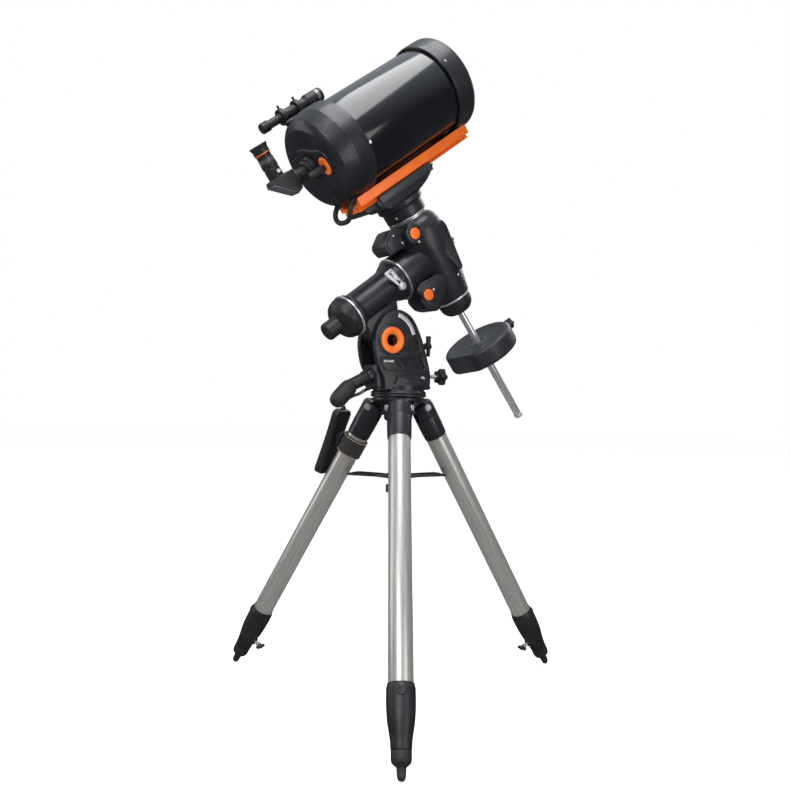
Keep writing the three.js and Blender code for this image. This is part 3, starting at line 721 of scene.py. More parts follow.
def make_tripod_head():
    """The head with the tongues that the legs hinge on, and the threaded rod below it."""
    parts = [lathe([(0, 652), (30, 652), (34, 658), (34, 690), (42, 700), (62, 700), (62, HEAD_TOP),
        (0, HEAD_TOP)], 1.5),
        lathe([(0, 468)] + [(6 - 0.5 * (i % 2), 469 + i * 1.2) for i in range(140)] + [(0, 652)], 0.2,
        32)]
    tongue = [(20, 700.5), (20, 660), (60, 671), (72, 671.6), (79, 677), (81, 684), (77, 693.4),
        (60, 700.5)]
    for azimuth in AZIMUTHS.values():
        cheek = side_plate(tongue, -8, 8, 1.5, corner=3)
        parts.append(moved(cheek, turn(radians(azimuth - 90), "Z")))
    add("tripod_head_casting", joined(*parts), "casting", "tripod", TRIPOD, ["tripod_head"])


def turned(points, azimuth):
    around = radians(azimuth)
    return [(x * cos(around) - y * sin(around), x * sin(around) + y * cos(around)) for x, y in points]


def make_tray():
    """Three arms with a raised rim round the window in each, and the knob under the hub."""
    arm = [(22, -27), (48, -19), (100, -23), (127, -25), (133, -14), (129, 0), (133, 14), (127, 25),
        (100, 23), (48, 19)]
    window = [(38, -8), (44, -11.5), (102, -15), (112, -15), (116, -10), (116, 10), (112, 15),
        (102, 15), (44, 11.5), (38, 8)]
    outline = []
    windows = []
    rims = []
    for azimuth in AZIMUTHS.values():
        outline += turned(arm, azimuth)
        windows.append(rounded(turned(window, azimuth), 5, True))
    flat = plate(outline, TRAY_Z, TRAY_Z + 5, 1.0, windows, corner=6)
    hub = ring(26, TRAY_BORE_R, TRAY_Z, TRAY_Z + 10, 1.2)
    for inner in windows:
        middle = Vector((sum(x for x, y in inner), sum(y for x, y in inner))) / len(inner)
        outer = [tuple(middle + (Vector(p) - middle) * 1.09) for p in inner]
        rims.append(plate(outer, TRAY_Z + 4, TRAY_Z + 7.5, 0.8, [inner]))
    add("tray_casting", joined(flat, hub, *rims), "casting", "tray", TRIPOD, ["spreader_tray"])
    wheel = joined(star(27, 480, 500, 6, 3), ring(13, TRAY_BORE_R, 499, TRAY_Z - 0.3, 1))
    add("tray_star_knob", wheel, "plastic", "tray_knob", TRIPOD, ["tension_knob"])


# ---- legs
SOCKET_END = -81
SLEEVE_TOP = -622
SLEEVE_END = -745
TUBE_END = -634
LOCK_Z = -712
CHEEK_IN = 8.6
FRONT_IN = 18


def make_leg(name):
    """Socket, tube, sleeve, sliding foot and lock screw. The leg's own Z runs up along it."""
    at = LEGS[name]
    body = f"leg_{name}"
    socket = lathe([(0, -26), (24, -26), (24, -41), (25.7, -41), (25.7, SOCKET_END), (27.0, SOCKET_END),
        (27.6, -78), (28.4, -50), (28.5, -26), (0, -25)], 0.6)
    dome = [(0, -26), (28.5, -26), (28.4, 3), (27.2, 8), (23, 12), (17, 13), (0, 13)]
    cheeks = [sliced(lathe(dome, 1.2), (0, side * CHEEK_IN, 0), (0, -side, 0)) for side in (-1, 1)]
    front = sliced(lathe(dome, 1.2), (FRONT_IN, 0, 0), (-1, 0, 0))
    for side in (-1, 1):
        front = sliced(front, (0, side * CHEEK_IN, 0), (0, side, 0))
    cheeks.append(front)
    add(f"leg_socket_casting_{name}", joined(socket, *cheeks), "casting", body, at,
        [f"leg_socket_{name}"])
    for side, tag in ((-1, "near"), (1, "far")):
        bolt = joined(disc(8.2, 0, 1.4, 0.3, 48), hexagon(6.4, 1.4, 6.2))
        add(f"leg_hinge_bolt_{name}_{tag}", bolt, "silver", body,
            at @ place(0, side * 27.6, 0) @ turn(-side * pi / 2, "X"))
    tube = ring(25.4, 23.4, TUBE_END, -42, 0.3, 96)
    add(f"leg_tube_steel_{name}", tube, "stainless", body, at, [f"leg_tube_{name}"])
    sleeve = lathe([(25.7, SLEEVE_TOP), (27.2, SLEEVE_TOP), (27.6, -626), (29.2, -631), (29.4, -652),
        (28.9, -672), (27.4, -692), (24.8, -708), (21.6, -727), (20.4, SLEEVE_END), (16.3, SLEEVE_END),
        (16.3, TUBE_END - 4), (25.7, TUBE_END - 4)], 1.5)
    add(f"leg_sleeve_cup_{name}", sleeve, "plastic", body, at, [f"leg_sleeve_{name}"])
    boss = lathe([(0, 0), (10, 0), (9.6, 3.2), (7.4, 4), (7, 3.2), (0, 3.2)], 0.8, 48)
    add(f"leg_sleeve_boss_{name}", boss, "plastic", body, at @ place(27.2, 0, -640) @ turn(pi / 2, "Y"))
    boss = lathe([(0, 0), (11, 0), (9, 8), (0, 8)], 1.2, 48)
    add(f"leg_screw_boss_{name}", boss, "plastic", body, at @ place(-19, 0, LOCK_Z) @ turn(-pi / 2, "Y"))
    foot = lathe([(0, -LEG_LENGTH), (4.5, -LEG_LENGTH), (8, -LEG_LENGTH + 5), (8.8, -786), (9.5, -775),
        (18.2, -768), (20.2, -761), (20.2, SLEEVE_END - 0.3), (15.9, SLEEVE_END - 0.3), (15.9, -185),
        (13.4, -185), (13.4, -740), (0, -740)], 1.2)
    add(f"leg_inner_rod_{name}", foot, "grip", f"extension_{name}", at, [f"leg_extension_{name}"])
    stem = rod((-25.6, 0, LOCK_Z), (-37, 0, LOCK_Z), 4)
    cone = rod((-33, 0, LOCK_Z), (-41, 0, LOCK_Z), 5.5, 7.5, 1)
    wing = block((-50, -40.5), (-15, 15), (LOCK_Z - 3.4, LOCK_Z + 3.4), 2.6, 3)
    waist = block((-51, -39.5), (-4.5, 4.5), (LOCK_Z - 4, LOCK_Z + 4), 2.0, 3)
    add(f"leg_screw_stem_{name}", joined(stem, cone), "silver", f"lock_{name}", at,
        [f"leg_lock_screw_{name}"])
    add(f"leg_screw_wing_{name}", joined(wing, waist), "grip", f"lock_{name}", at)


# ---- hand controller
ORANGE_KEY = (5, 1)
KEY_GAP = 15
SEAMS = (("low", -133.4), ("high", -91.2))


def make_controller():
    """The hand controller, upright in its own Y and Z, on a strap round leg c."""
    at = LEGS["c"] @ place(53.4, 0, -135) @ turn(radians(11.2), "Y")
    outline = smooth([(-31, -74), (-21, -84), (0, -84.6), (21, -84), (31, -74), (30, -40), (28.5, 10),
        (30, 50), (31, 74), (21, 84), (0, 84.6), (-21, 84), (-31, 74), (-30, 50), (-28.5, 10),
        (-30, -40)], 128)
    shell = side_plate(outline, -10, 10, 4)
    add("controller_shell", shell, "plastic", "leg_c", at, ["hand_controller"])
    face = side_plate(rounded([(-24, -72), (24, -72), (25, 34), (-25, 34)], 6, True), 9.6, 10.6, 0.4)
    add("controller_face", face, "grip", "leg_c", at)
    screen = side_plate(rounded([(-23, 44), (23, 44), (23, 68), (-23, 68)], 2, True), 9.6, 10.7, 0.4)
    add("controller_screen", screen, "gloss", "leg_c", at)
    for row in range(6):
        for column in range(3):
            finish = "orange" if (row, column) == ORANGE_KEY else "grip"
            spot = place(0, KEY_GAP * (column - 1), 16 * row - 60)
            add(f"controller_key_{row}_{column}", disc(5.2, 10.2, 12.2, 0.9, 32), finish, "leg_c",
                at @ spot @ ALONG_X)
    boot = lathe([(0, 81), (6.5, 82), (6.5, 86), (5, 93), (0, 93)], 0.8, 48)
    add("controller_boot", boot, "grip", "leg_c", at)
    band = ring(30.6, 25.7, -135, -89, 0.8)
    add("controller_strap_band", band, "webbing", "leg_c", LEGS["c"], ["controller_strap"])
    for tag, height in SEAMS:
        seam = ring(31.0, 30.3, height - 0.7, height + 0.7, 0.3)
        add(f"controller_strap_seam_{tag}", seam, "stitching", "leg_c", LEGS["c"])
    buckle = block((30, 36), (-17, 17), (-130, -94), 1.6)
    hook = plate([(34, -124), (45.2, -122), (48.6, -104), (34, -98)], -14, 14, 1, corner=2)
    hook.transform(turn(pi / 2, "X"))
    add("controller_hook", joined(buckle, hook), "plastic", "leg_c", LEGS["c"])


# ---- mount base
FORK_IN = 29
FORK_OUT = 43
AXLE_HOLE_R = 17.3
AXLE_AT = TRIPOD @ place(0, AXLE_Y, AXLE_Z)
AZIMUTH_Z = 759
MIRROR_X = Matrix.Diagonal((-1, 1, 1, 1))


def make_fork():
    """The fork's foot, its two cheeks with their webs and bosses, and the latitude axle."""
    base = lathe([(0, 708), (63, 708), (66.4, 710.5), (66.4, 714), (64.8, 715), (64.8, 716),
        (66.4, 717), (66.4, 719.5), (64, 722), (61, 724), (61, 737), (0, 737)], 0.8, 128)
    outline = smooth([(-62, 726), (-66, 752), (-84, 790), (-91, 838), (-80, 878), (-58, 903),
        (-29, 913), (2, 902), (22, 878), (41, 837), (56, 790), (62, 764), (62, 738), (58, 727),
        (0, 726), (-56, 726)], 160)
    hole = circle(AXLE_Y, AXLE_Z, AXLE_HOLE_R, 64)
    pocket_lines = ([(-74, 800), (-64, 796), (-50, 792), (-30, 790), (-16, 776), (-58, 770),
        (-72, 786)], [(-2, 800), (34, 806), (48, 776), (16, 768), (-2, 776)], [(2, 832), (14, 850),
        (26, 842), (32, 818), (6, 814)])
    pockets = [rounded(line, 5, True) for line in pocket_lines]
    parts = [base]
    for side in ("east", "west"):
        inner = side_plate(outline, FORK_IN, FORK_OUT - 3, 1.0, [hole])
        outer = side_plate(outline, FORK_OUT - 4, FORK_OUT, 1.2, [hole, *pockets])
        pad = moved(lathe([(AXLE_HOLE_R, 40), (35.5, 40), (36, 43), (33.5, 46), (AXLE_HOLE_R, 46)],
            1.0), place(0, AXLE_Y, AXLE_Z) @ ALONG_X)
        rib = side_plate([(-44, 728), (52, 728), (59, 744), (20, 760), (-30, 757)], 42, 50, 2.5, corner=4)
        for shape in (inner, outer, pad, rib):
            if side == "west":
                shape.transform(MIRROR_X)
                bmesh.ops.reverse_faces(shape, faces=shape.faces)
            parts.append(shape)
    parts.append(side_plate([(-76, 730), (-56, 730), (-56, 784), (-80, 784)], -30, 30, 1.5, corner=4))
    parts.append(side_plate([(44, 730), (61, 730), (56, 790), (44, 842), (34, 842), (40, 790)], -30, 30,
        1.5, corner=4))
    parts.append(rod((0, 50, AZIMUTH_Z), (0, 72, AZIMUTH_Z), 12.5, 11.5, 1.2, 48))
    parts.append(rod((-30, 8, AZIMUTH_Z), (-58, 8, AZIMUTH_Z), 12.5, 11.5, 1.2, 48))
    parts.append(rod((0, -70, 760.5), (0, -90, 753.8), 19, 17.5, 1.5, 64))
    add("fork_casting", joined(*parts), "casting", "mount", TRIPOD, ["mount_fork"])
    port = moved(plate(rounded([(-15, -6), (15, -6), (15, 6), (-15, 6)], 5, True), 0, 1.4, 0.4),
        place(60.2, 0, PORT_Z) @ turn(pi / 2, "Z") @ turn(pi / 2, "X"))
    add("cord_port", port, "plastic", "mount", TRIPOD @ turn(radians(AZIMUTHS["c"]), "Z"))
    for side, tag in ((1, "east"), (-1, "west")):
        axle = lathe([(13.5, 44), (17, 44), (17, 46.3), (31, 46.3), (31, 48.4), (29.2, 50.2), (25, 51),
            (20, 50.4), (16, 48.6), (13.9, 46), (13.5, 20)], 0.9, 128)
        add(f"latitude_ring_{tag}", axle, "orange", "mount", AXLE_AT @ turn(side * pi / 2, "Y"),
            ["latitude_axle"] if side > 0 else [])
        bolt = joined(disc(6.2, 0, 2, 0.6, 48), hexagon(4.2, 2, 4.4, 0.5))
        add(f"fork_bolt_{tag}", bolt, "silver", "mount",
            TRIPOD @ place(side * 43, 40, 752) @ turn(side * pi / 2, "Y"))
    sleeve = ring(17, 13.5, -45, 45, 0.4)
    add("latitude_axle_tube", sleeve, "plastic", "mount", AXLE_AT @ ALONG_X)
    make_badge()


def axle_band(inner, outer, first, last, steps=24):
    """A band round the latitude axle between two radii, from one angle to another in degrees."""
    angles = [radians(first + (last - first) * i / steps) for i in range(steps + 1)]
    return arc(AXLE_Y, AXLE_Z, outer, angles) + arc(AXLE_Y, AXLE_Z, inner, angles[::-1])


def make_badge():
    """A blank silver arc and a groove round the axle, and the marks of the latitude scale."""
    badge = side_plate(axle_band(57, 67, 14, 74), 43, 44.1, 0.3)
    add("fork_arc_badge", badge, "silver", "mount", TRIPOD)
    groove = side_plate(axle_band(38.5, 40.5, -150, 200, 72), 42.6, 44.0, 0.4)
    add("fork_axle_groove", groove, "casting", "mount", TRIPOD)
    ticks = []
    for i in range(9):
        tick = block((43.0, 43.6), (-0.4, 0.4), (-2.5, 2.5), 0)
        ticks.append(moved(tick, place(0, 3.2 * i - 67, 792)))
    add("fork_scale_marks", joined(*ticks), "white", "mount", TRIPOD)


def azimuth_wheel(*more):
    return joined(*more, star(21, -9, 9, 5, 3.5), disc(9.5, -15, -8, 1.2, 48), disc(8, 8, 10.5, 1.4, 48))


def make_base_screws():
    """The two azimuth knobs, the latitude handle to the south and the latitude screw to the north."""
    north = TRIPOD @ place(0, 122, AZIMUTH_Z) @ ALONG_Y
    west = TRIPOD @ place(-98, 8, AZIMUTH_Z) @ turn(-pi / 2, "Y")
    threads = []
    for i in range(17):
        z = 2 * i - 48
        threads.append(lathe([(4, z), (5, z + 1), (4, z + 2), (0, z + 2), (0, z)], 0.1, 32))
    add("azimuth_screw_north", joined(*threads), "silver", "azimuth_knob_north", north)
    add("azimuth_star_knob_north", azimuth_wheel(), "grip", "azimuth_knob_north", north,
        ["azimuth_knob_north"])
    wheel = azimuth_wheel(disc(5, -44, -8, 0.5, 32))
    add("azimuth_star_knob_west", wheel, "grip", "azimuth_knob_west", west, ["azimuth_knob_west"])
    at = TRIPOD @ place(0, -76, 758.5) @ turn(radians(18.5), "X")
    stem = joined(rod((0, 30, 0), (0, -12, 0), 8), rod((0, -8, 0), (0, -68, -6), 15.5, 14.5, 2, 64),
        rod((0, -16, 0), (0, -22, 0), 16.6, 16.6, 1.5, 64))
    add("latitude_handle_stem", stem, "plastic", "latitude_handle", at, ["latitude_handle"])
    grip = lathe([(0, -37), (7, -36.5), (14, -33), (18.5, -26), (20, -16), (20, 10), (19, 22),
        (15.5, 31), (9, 36), (0, 37)], 6, 96)
    lean = atan2(26, 52)
    add("latitude_handle_grip", grip, "grip", "latitude_handle",
        at @ place(0, -84, -18) @ turn(pi / 2 + lean, "X"))
    screw_at = TRIPOD @ place(0, 52, 833)
    tee = joined(rod((0, -26, 0), (0, 34, 0), 5), rod((0, 32, -25), (0, 32, 25), 4.6, 6.4, 1.8, 48),
        rod((0, 22, 0), (0, 38, 0), 8.2, 7.4, 1.5, 48))
    add("latitude_tee_screw", tee, "plastic", "latitude_screw", screw_at, ["latitude_screw"])


# ---- polar axis
LOBE_Y = -231.4
LOBE_Z = -97.9
LOBE_R = 28
LEVER_Y = -140
LEVER_Z = -8
LEVER_TIP_Y = -163
LEVER_TIP_Z = 38


def make_polar_axis():
    """The polar housing, its rear ring and cap, the setting circle and the clutch lever."""
    tube = lathe([(24, -266), (46, -266), (47.5, -263), (47.5, -259), (44, -255), (41.6, -252),
        (41.2, -246), (41, -180), (41.2, -152), (43, -144), (48.6, -133), (49.4, -131), (50.4, -128),
        (50.5, -119), (24, -119)], 1.6, 128)
    lobe_line = [(-262, -20), (-260, -62), (-256, -84)]
    lobe_line += arc(LOBE_Y, LOBE_Z, LOBE_R, [radians(a) for a in range(190, 351, 8)])
    lobe_line += [(-196, -76), (-166, -52), (-150, -20)]
    lobe = side_plate(lobe_line, -28, 28, 2.5, [circle(LOBE_Y, LOBE_Z, AXLE_HOLE_R, 64)])
    add("polar_housing", joined(moved(tube, ALONG_Y), lobe), "casting", "ra_body", EQUATORIAL,
        ["ra_housing"])
    bright = ring(51.2, 46, -272.9, -268.2, 0.5, 128)
    add("polar_rear_ring", moved(bright, ALONG_Y), "silver", "ra_body", EQUATORIAL)
    cap = lathe([(0, -345), (17.5, -345), (20.2, -343.6), (21.3, -340), (21.3, -330), (20.9, -329),
        (20.9, -327), (21.3, -326), (21.3, -314), (22.6, -310.6), (29, -308.2), (37, -304.6),
        (43, -299.4), (46.8, -292.4), (48.2, -285), (48.5, -274), (23.4, -274), (23.4, -258),
        (0, -258)], 1.6, 128)
    ribs = repeated(60, lambda: block((-1.1, 1.1), (47, 49.2), (-285, -275), 0.5))
    add("polar_cap_shell", moved(joined(cap, *ribs), ALONG_Y), "plastic", "polar_cap", EQUATORIAL,
        ["polar_cap"])
    circle_ring = lathe([(30, -118.6), (54.4, -118.6), (56, -117.6), (56, -114), (55, -113),
        (30, -113)], 0.4, 128)
    add("polar_setting_circle", circle_ring, "circle", "ra_circle", EQUATORIAL @ ALONG_Y,
        ["ra_setting_circle"])
    pivot = Vector((LEVER_Y, LEVER_Z))
    hub = joined(rod((50, *pivot), (57.5, *pivot), 10.5, 9, 1.4, 48),
        rod((30, *pivot), (51, *pivot), 4), rod((57, *pivot), (58.6, *pivot), 4.6, 4.2, 0.6, 32))
    arms = []
    for end in (Vector((LEVER_TIP_Y, LEVER_TIP_Z)), Vector((LEVER_TIP_Y + 17, LEVER_TIP_Z - 1))):
        side = (end - pivot).orthogonal().normalized()
        outline = [tuple(pivot + side * 7), tuple(end + side * 4.4), tuple(end - side * 4.4),
            tuple(pivot - side * 7)]
        arms.append(side_plate(outline, 51.6, 56.4, 1.6, corner=3))
    bridge = side_plate([(LEVER_TIP_Y - 3, LEVER_TIP_Z - 4), (LEVER_TIP_Y + 20, LEVER_TIP_Z - 5),
        (LEVER_TIP_Y + 20, LEVER_TIP_Z + 3), (LEVER_TIP_Y - 3, LEVER_TIP_Z + 4)], 51.4, 56.6, 1.8,
        corner=3)
    add("clutch_lever_arm", joined(hub, bridge, *arms), "silver", "ra_lever", EQUATORIAL,
        ["ra_clutch_lever"])


# ---- turning half
def make_dec_housing():
    """The barrel of the declination axis with its worm housings."""
    barrel = lathe([(10, -121), (44, -121), (45.4, -118), (50, -95), (56, -60), (61.6, -20), (67, 20),
        (68.3, 40), (68.4, 54), (66.4, 70), (60.5, 86), (54, 94), (51, 96.5), (50.4, 99.6), (20, 99.6),
        (20, 30), (10, 30)], 3, 128)
    polar_end = moved(lathe([(20, -112.6), (53, -112.6), (54.5, -111), (54.5, -30), (20, -30)], 1.2,
        128), ALONG_Y)
    worm = side_plate([(-118, -66), (-112.6, -58), (-112.6, -38), (-96, -30), (-38, -38), (-22, -52),
        (-24, -72), (-72, -106), (-92, -110), (-112, -92)], -6, 56, 3.5, corner=7)
    lid = side_plate([(-113, -66), (-108, -44), (-94, -36), (-44, -43), (-30, -54), (-31, -68),
        (-73, -98), (-90, -102), (-107, -88)], 52, 60, 2, corner=7)
    upper = side_plate([(-62, 62), (-40, 54), (10, 60), (10, 82), (-40, 96), (-60, 90)], -30, 50, 3,
        corner=5)
    eye = rod((-10, -44, 74), (60, -44, 74), 24, 23, 3, 96)
    crest = side_plate([(-20, 56), (40, 66), (46, 50), (30, -60), (18, -64)], 50, 64, 4, corner=8)
    add("declination_housing", joined(barrel, polar_end, worm, lid, upper, eye, crest), "casting",
        "dec_body", EQUATORIAL, ["dec_housing"])
    for tag, y, z in (("polar", -94, -62), ("upper", -44, 75)):
        at = EQUATORIAL @ place(59.6, y, z) @ ALONG_X
        cap = lathe([(0, 0), (13.6, 0), (13.6, 2.2), (12.2, 3.2), (0, 3.8)], 0.8, 96)
        add(f"worm_cap_{tag}", cap, "orange", "dec_body", at)
        add(f"worm_cap_rim_{tag}", ring(16.2, 13.8, 0, 1.6, 0.5), "casting", "dec_body", at)
    for tag, y, z in (("polar", -74.7, -59.9), ("upper", -44.8, 53)):
        screw(f"worm_screw_{tag}", "dec_body", EQUATORIAL @ place(60, y, z) @ ALONG_X, 3.2)
    screw("barrel_screw", "dec_body", EQUATORIAL @ place(58, 8, -70) @ ALONG_X, 2.8)


def make_motor_cover():
    """The box on the declination barrel with its raised panel, ribs and two screws."""
    outline = [(-69, 108), (-91, 112), (-122, 95), (-127, 84), (-121, 62), (-69, 60)]
    shell = side_plate(outline, -14, 46, 3, corner=6)
    inset = [(-74, 102), (-92, 106), (-116, 92), (-120, 84), (-115, 67), (-74, 66)]
    panel = side_plate(inset, 44, 50, 1.6, corner=5)
    back = block((-9, 41), (-126.6, -125), (78, 84), 0.6)
    rib_line = [(-71, 106), (-72.4, 106), (-72.4, 64), (-71, 64)]
    ribs = [side_plate(rib_line, x, x + 3, 0.5) for x in (-4, 12, 28)]
    add("motor_cover_shell", joined(shell, panel, back, *ribs), "casting", "dec_body", EQUATORIAL,
        ["dec_motor_cover"])
    for tag, y, z in (("low", -80, 72), ("high", -92, 98)):
        screw(f"motor_cover_screw_{tag}", "dec_body", EQUATORIAL @ place(50, y, z) @ ALONG_X, 2.4)


def make_turning_half():
    """What turns about the polar axis: housing, end cap, clutch, shaft and counterweight."""
    make_dec_housing()
    make_motor_cover()
    cap = lathe([(10, -164), (25, -164), (30, -161.5), (36, -155.5), (39.6, -150), (42, -140),
        (43.4, -128), (43.6, -125.6), (10, -125.6)], 3, 128)
    add("declination_end_cap", cap, "plastic", "dec_body", EQUATORIAL, ["dec_end_cap"])
    bright = ring(46, 20, -125.4, -121.3, 0.5, 128)
    add("declination_lower_ring", bright, "silver", "dec_body", EQUATORIAL)
    keep("ra_shaft", "stainless")
    knob = joined(rod((0, 56, -3), (0, 69, -3), 4), moved(star(15, 0, 11.5, 6, 2.2),
        place(0, 67.5, -3) @ ALONG_Y))
    add("declination_clutch", knob, "plastic", "dec_clutch", EQUATORIAL, ["dec_clutch_knob"])
    shaft = lathe([(0, -482), (8.4, -482), (9.4, -481), (9.4, -72), (0, -72)], 0.6, 96)
    add("counterweight_bar", shaft, "chrome", "dec_body", EQUATORIAL, ["counterweight_shaft"])
    make_counterweight()
    toe = lathe([(0, -492), (9, -492), (10.5, -490.5), (10.5, -484), (9.8, -482.3), (0, -482.3)], 0.6, 96)
    add("shaft_end_screw", toe, "silver", "safety_screw", EQUATORIAL, ["safety_screw"])


FLAT_ANGLE = radians(11)
FLAT_AT = 77


def make_counterweight():
    """A cast disc with a dish on top and a flat on one side."""
    shape = lathe([(10.2, -300), (84, -300), (89, -297.6), (91, -292.5), (91, -259.5), (89.6, -255.4),
        (86, -252.4), (77, -252), (68, -254.6), (52, -257.4), (24, -258), (22, -256.4), (16, -256.4),
        (14, -258), (10.2, -258)], 2, 160)
    normal = Vector((sin(FLAT_ANGLE), -cos(FLAT_ANGLE), 0))
    sliced(shape, normal * FLAT_AT, normal)
    add("counterweight_disc", shape, "iron", "counterweight", EQUATORIAL, ["counterweight"])
    knob = joined(disc(5, -92, 1, 0.5, 32), star(15, 0, 18, 5, 3), disc(9, -6, 1, 1.2, 48))
    add("counterweight_star_knob", knob, "grip", "counterweight_knob",
        EQUATORIAL @ place(0, 102, -276) @ ALONG_Y, ["counterweight_knob"])


# ---- declination head and saddle
SADDLE_TOP = 183
SADDLE_SCREWS = (-42, 66)
SADDLE_SCREW_Z = 177
KEEL_HALF = 38


def make_saddle():
    """The head that turns about the declination axis, and the saddle with its two knobs."""
    head = lathe([(0, 36), (19.5, 36), (19.5, 109.6), (50.6, 109.6), (51.5, 111), (51.9, 126),
        (52.4, 134), (54, 137), (58.5, 139), (58.5, 150), (0, 150)], 1.6, 128)
    add("declination_head", head, "casting", "saddle", EQUATORIAL, ["dec_head"])
    screw("declination_head_screw", "saddle",
        EQUATORIAL @ turn(radians(-62), "Z") @ place(51.6, 0, 121) @ ALONG_X, 3)
    ring_piece = lathe([(26, 100), (50, 100), (51, 101), (51, 108.3), (50, 109.3), (26, 109.3)], 0.5, 128)
    add("declination_circle", ring_piece, "circle", "dec_circle", EQUATORIAL, ["dec_setting_circle"])
    keel_line = [(-83, 172), (-58, 150.3), (44, 150.3), (72, 158), (92, 168), (107, 179),
        (107, SADDLE_TOP), (-83, SADDLE_TOP)]
    core = side_plate(keel_line, -KEEL_HALF, KEEL_HALF, 2.5, corner=5)
    ribs = []
    for x in (-KEEL_HALF - 4, KEEL_HALF + 4):
        ribs.append(side_plate(keel_line, x - 2.5, x + 2.5, 1.6, corner=5))
    for y in (-60, -36, -12, 12, 36, 60):
        ribs.append(block((-44, 44), (y - 2, y + 2), (160, 180), 1.2))
    tail = side_plate([(-118, 174), (-112, 168), (-70, 166), (-70, SADDLE_TOP), (-118, SADDLE_TOP)],
        -40, 40, 2, corner=3)
    jaws = [block(x, (-74, 98), (170, 190), 1.6) for x in ((38.4, 50), (-50, -38.4))]
    pads = [rod((-50, y, SADDLE_SCREW_Z), (-57, y, SADDLE_SCREW_Z), 9, 8, 1.2, 48) for y in SADDLE_SCREWS]
    add("saddle_casting", joined(core, tail, *ribs, *jaws, *pads), "casting", "saddle", EQUATORIAL,
        ["saddle"])
    for tag, y in zip("ab", SADDLE_SCREWS):
        wheel = joined(rod((-25, y, SADDLE_SCREW_Z), (-62, y, SADDLE_SCREW_Z), 4),
            moved(star(15, 0, 15.5, 5, 3), place(-60, y, SADDLE_SCREW_Z) @ turn(-pi / 2, "Y")))
        add(f"saddle_star_knob_{tag}", wheel, "grip", f"saddle_knob_{tag}", EQUATORIAL,
            [f"saddle_knob_{tag}"])


# ---- optical tube
CELL_R = 115.5
TUBE_R = 108.5
SEAT_R = TUBE_R + 0.3
BACK = -156
BAR_LOW = SADDLE_TOP + 0.3 - OTA_Z


def make_tube():
    """The tube on its dovetail rail."""
    low = BAR_LOW
    section = mirrored([(37.5, low), (33, low + 8), (47, low + 10), (48, low + 11), (48, low + 33),
        (38, low + 29), (31, low + 19.5), (20, low + 19), (19, low + 15.5)])
    bar = plate(section, -243, 125, 0.7, corner=0.8)
    bar.transform(turn(pi / 2, "X"))
    add("dovetail_rail", bar, "orange", "ota", OTA, ["dovetail_bar"])
    shell = ring(TUBE_R, 106.5, -96.7, 244.7, 0.3, 192)
    add("tube_shell", moved(shell, ALONG_Y), "gloss", "ota", OTA, ["optical_tube"])
    flock = ring(106.2, 105.2, -60, 243, 0.3, 128)
    add("tube_lining", moved(flock, ALONG_Y), "grip", "ota", OTA)
    for tag, first, last in (("rear", -112, -78), ("front", 222, 248)):
        foot = block((-30, 30), (first, last), (low + 19.3, -109), 1.5)
        add(f"rail_block_{tag}", foot, "casting", "ota", OTA)
        for x, side in ((-12, "left"), (12, "right")):
            at = OTA @ place(x, (first + last) / 2, low) @ turn(pi, "X")
            screw(f"rail_screw_{tag}_{side}", "ota", at, 3.2, 0.2)


def make_front_cell():
    """The front cell, the corrector plate and the secondary's holder in it."""
    shell = lathe([(SEAT_R, 217), (113.2, 217), (114.6, 217.8), (115.1, 221), (115.2, 225),
        (CELL_R, 228), (CELL_R, 262), (115.2, 267), (113.6, 270.2), (111.6, 271), (110, 270.6),
        (104, 262), (101, 262), (101, 257.6), (105.5, 257.6), (105.5, 252), (101, 252), (101, 245),
        (SEAT_R, 245)], 1.4, 192)
    add("front_cell_casting", moved(shell, ALONG_Y), "casting", "ota", OTA, ["front_cell"])
    retainer = lathe([(101, 257.9), (104.4, 257.9), (109, 265.2), (107.5, 266.6), (101, 260.4)], 0.5, 192)
    lip = ring(113.3, 112.1, 268.9, 270.8, 0.3, 192)
    add("front_cell_lip", moved(lip, ALONG_Y), "cover", "ota", OTA)
    add("corrector_retainer", moved(retainer, ALONG_Y), "plastic", "ota", OTA)
    for i in range(8):
        at = OTA @ turn(radians(45 * i + 22.5), "Y")
        screw(f"retainer_screw_{i}", "ota", at @ place(0, 261.4, 103) @ turn(-pi / 2, "X"), 2.2, 1.4)
        if i % 2:
            screw(f"front_cell_screw_{i}", "ota", at @ place(0, 231, 115.0), 2.6, 1.2)
    glass = ring(105.2, 32.3, 252.3, 257.3, 0.5, 192)
    add("corrector_glass", moved(glass, ALONG_Y), "glass", "ota", OTA, ["corrector_plate"])
    holder = lathe([(0, 232), (27, 232), (32, 236), (32, 258), (35, 258), (35, 264.5), (33, 266.5),
        (30.5, 266.5), (29, 264.6), (20, 265), (18, 268.6), (0, 269)], 0.9, 128)
    add("secondary_housing", moved(holder, ALONG_Y), "plastic", "ota", OTA, ["secondary_holder"])
    for i in range(3):
        at = OTA @ turn(radians(120 * i), "Y") @ place(0, 265, 24.5) @ turn(-pi / 2, "X")
        screw(f"secondary_screw_{i}", "ota", at, 1.9, 1.4)


FOCUS_X = 50
FOCUS_Z = -12
PLATE_X = 55
PLATE_Z = -9


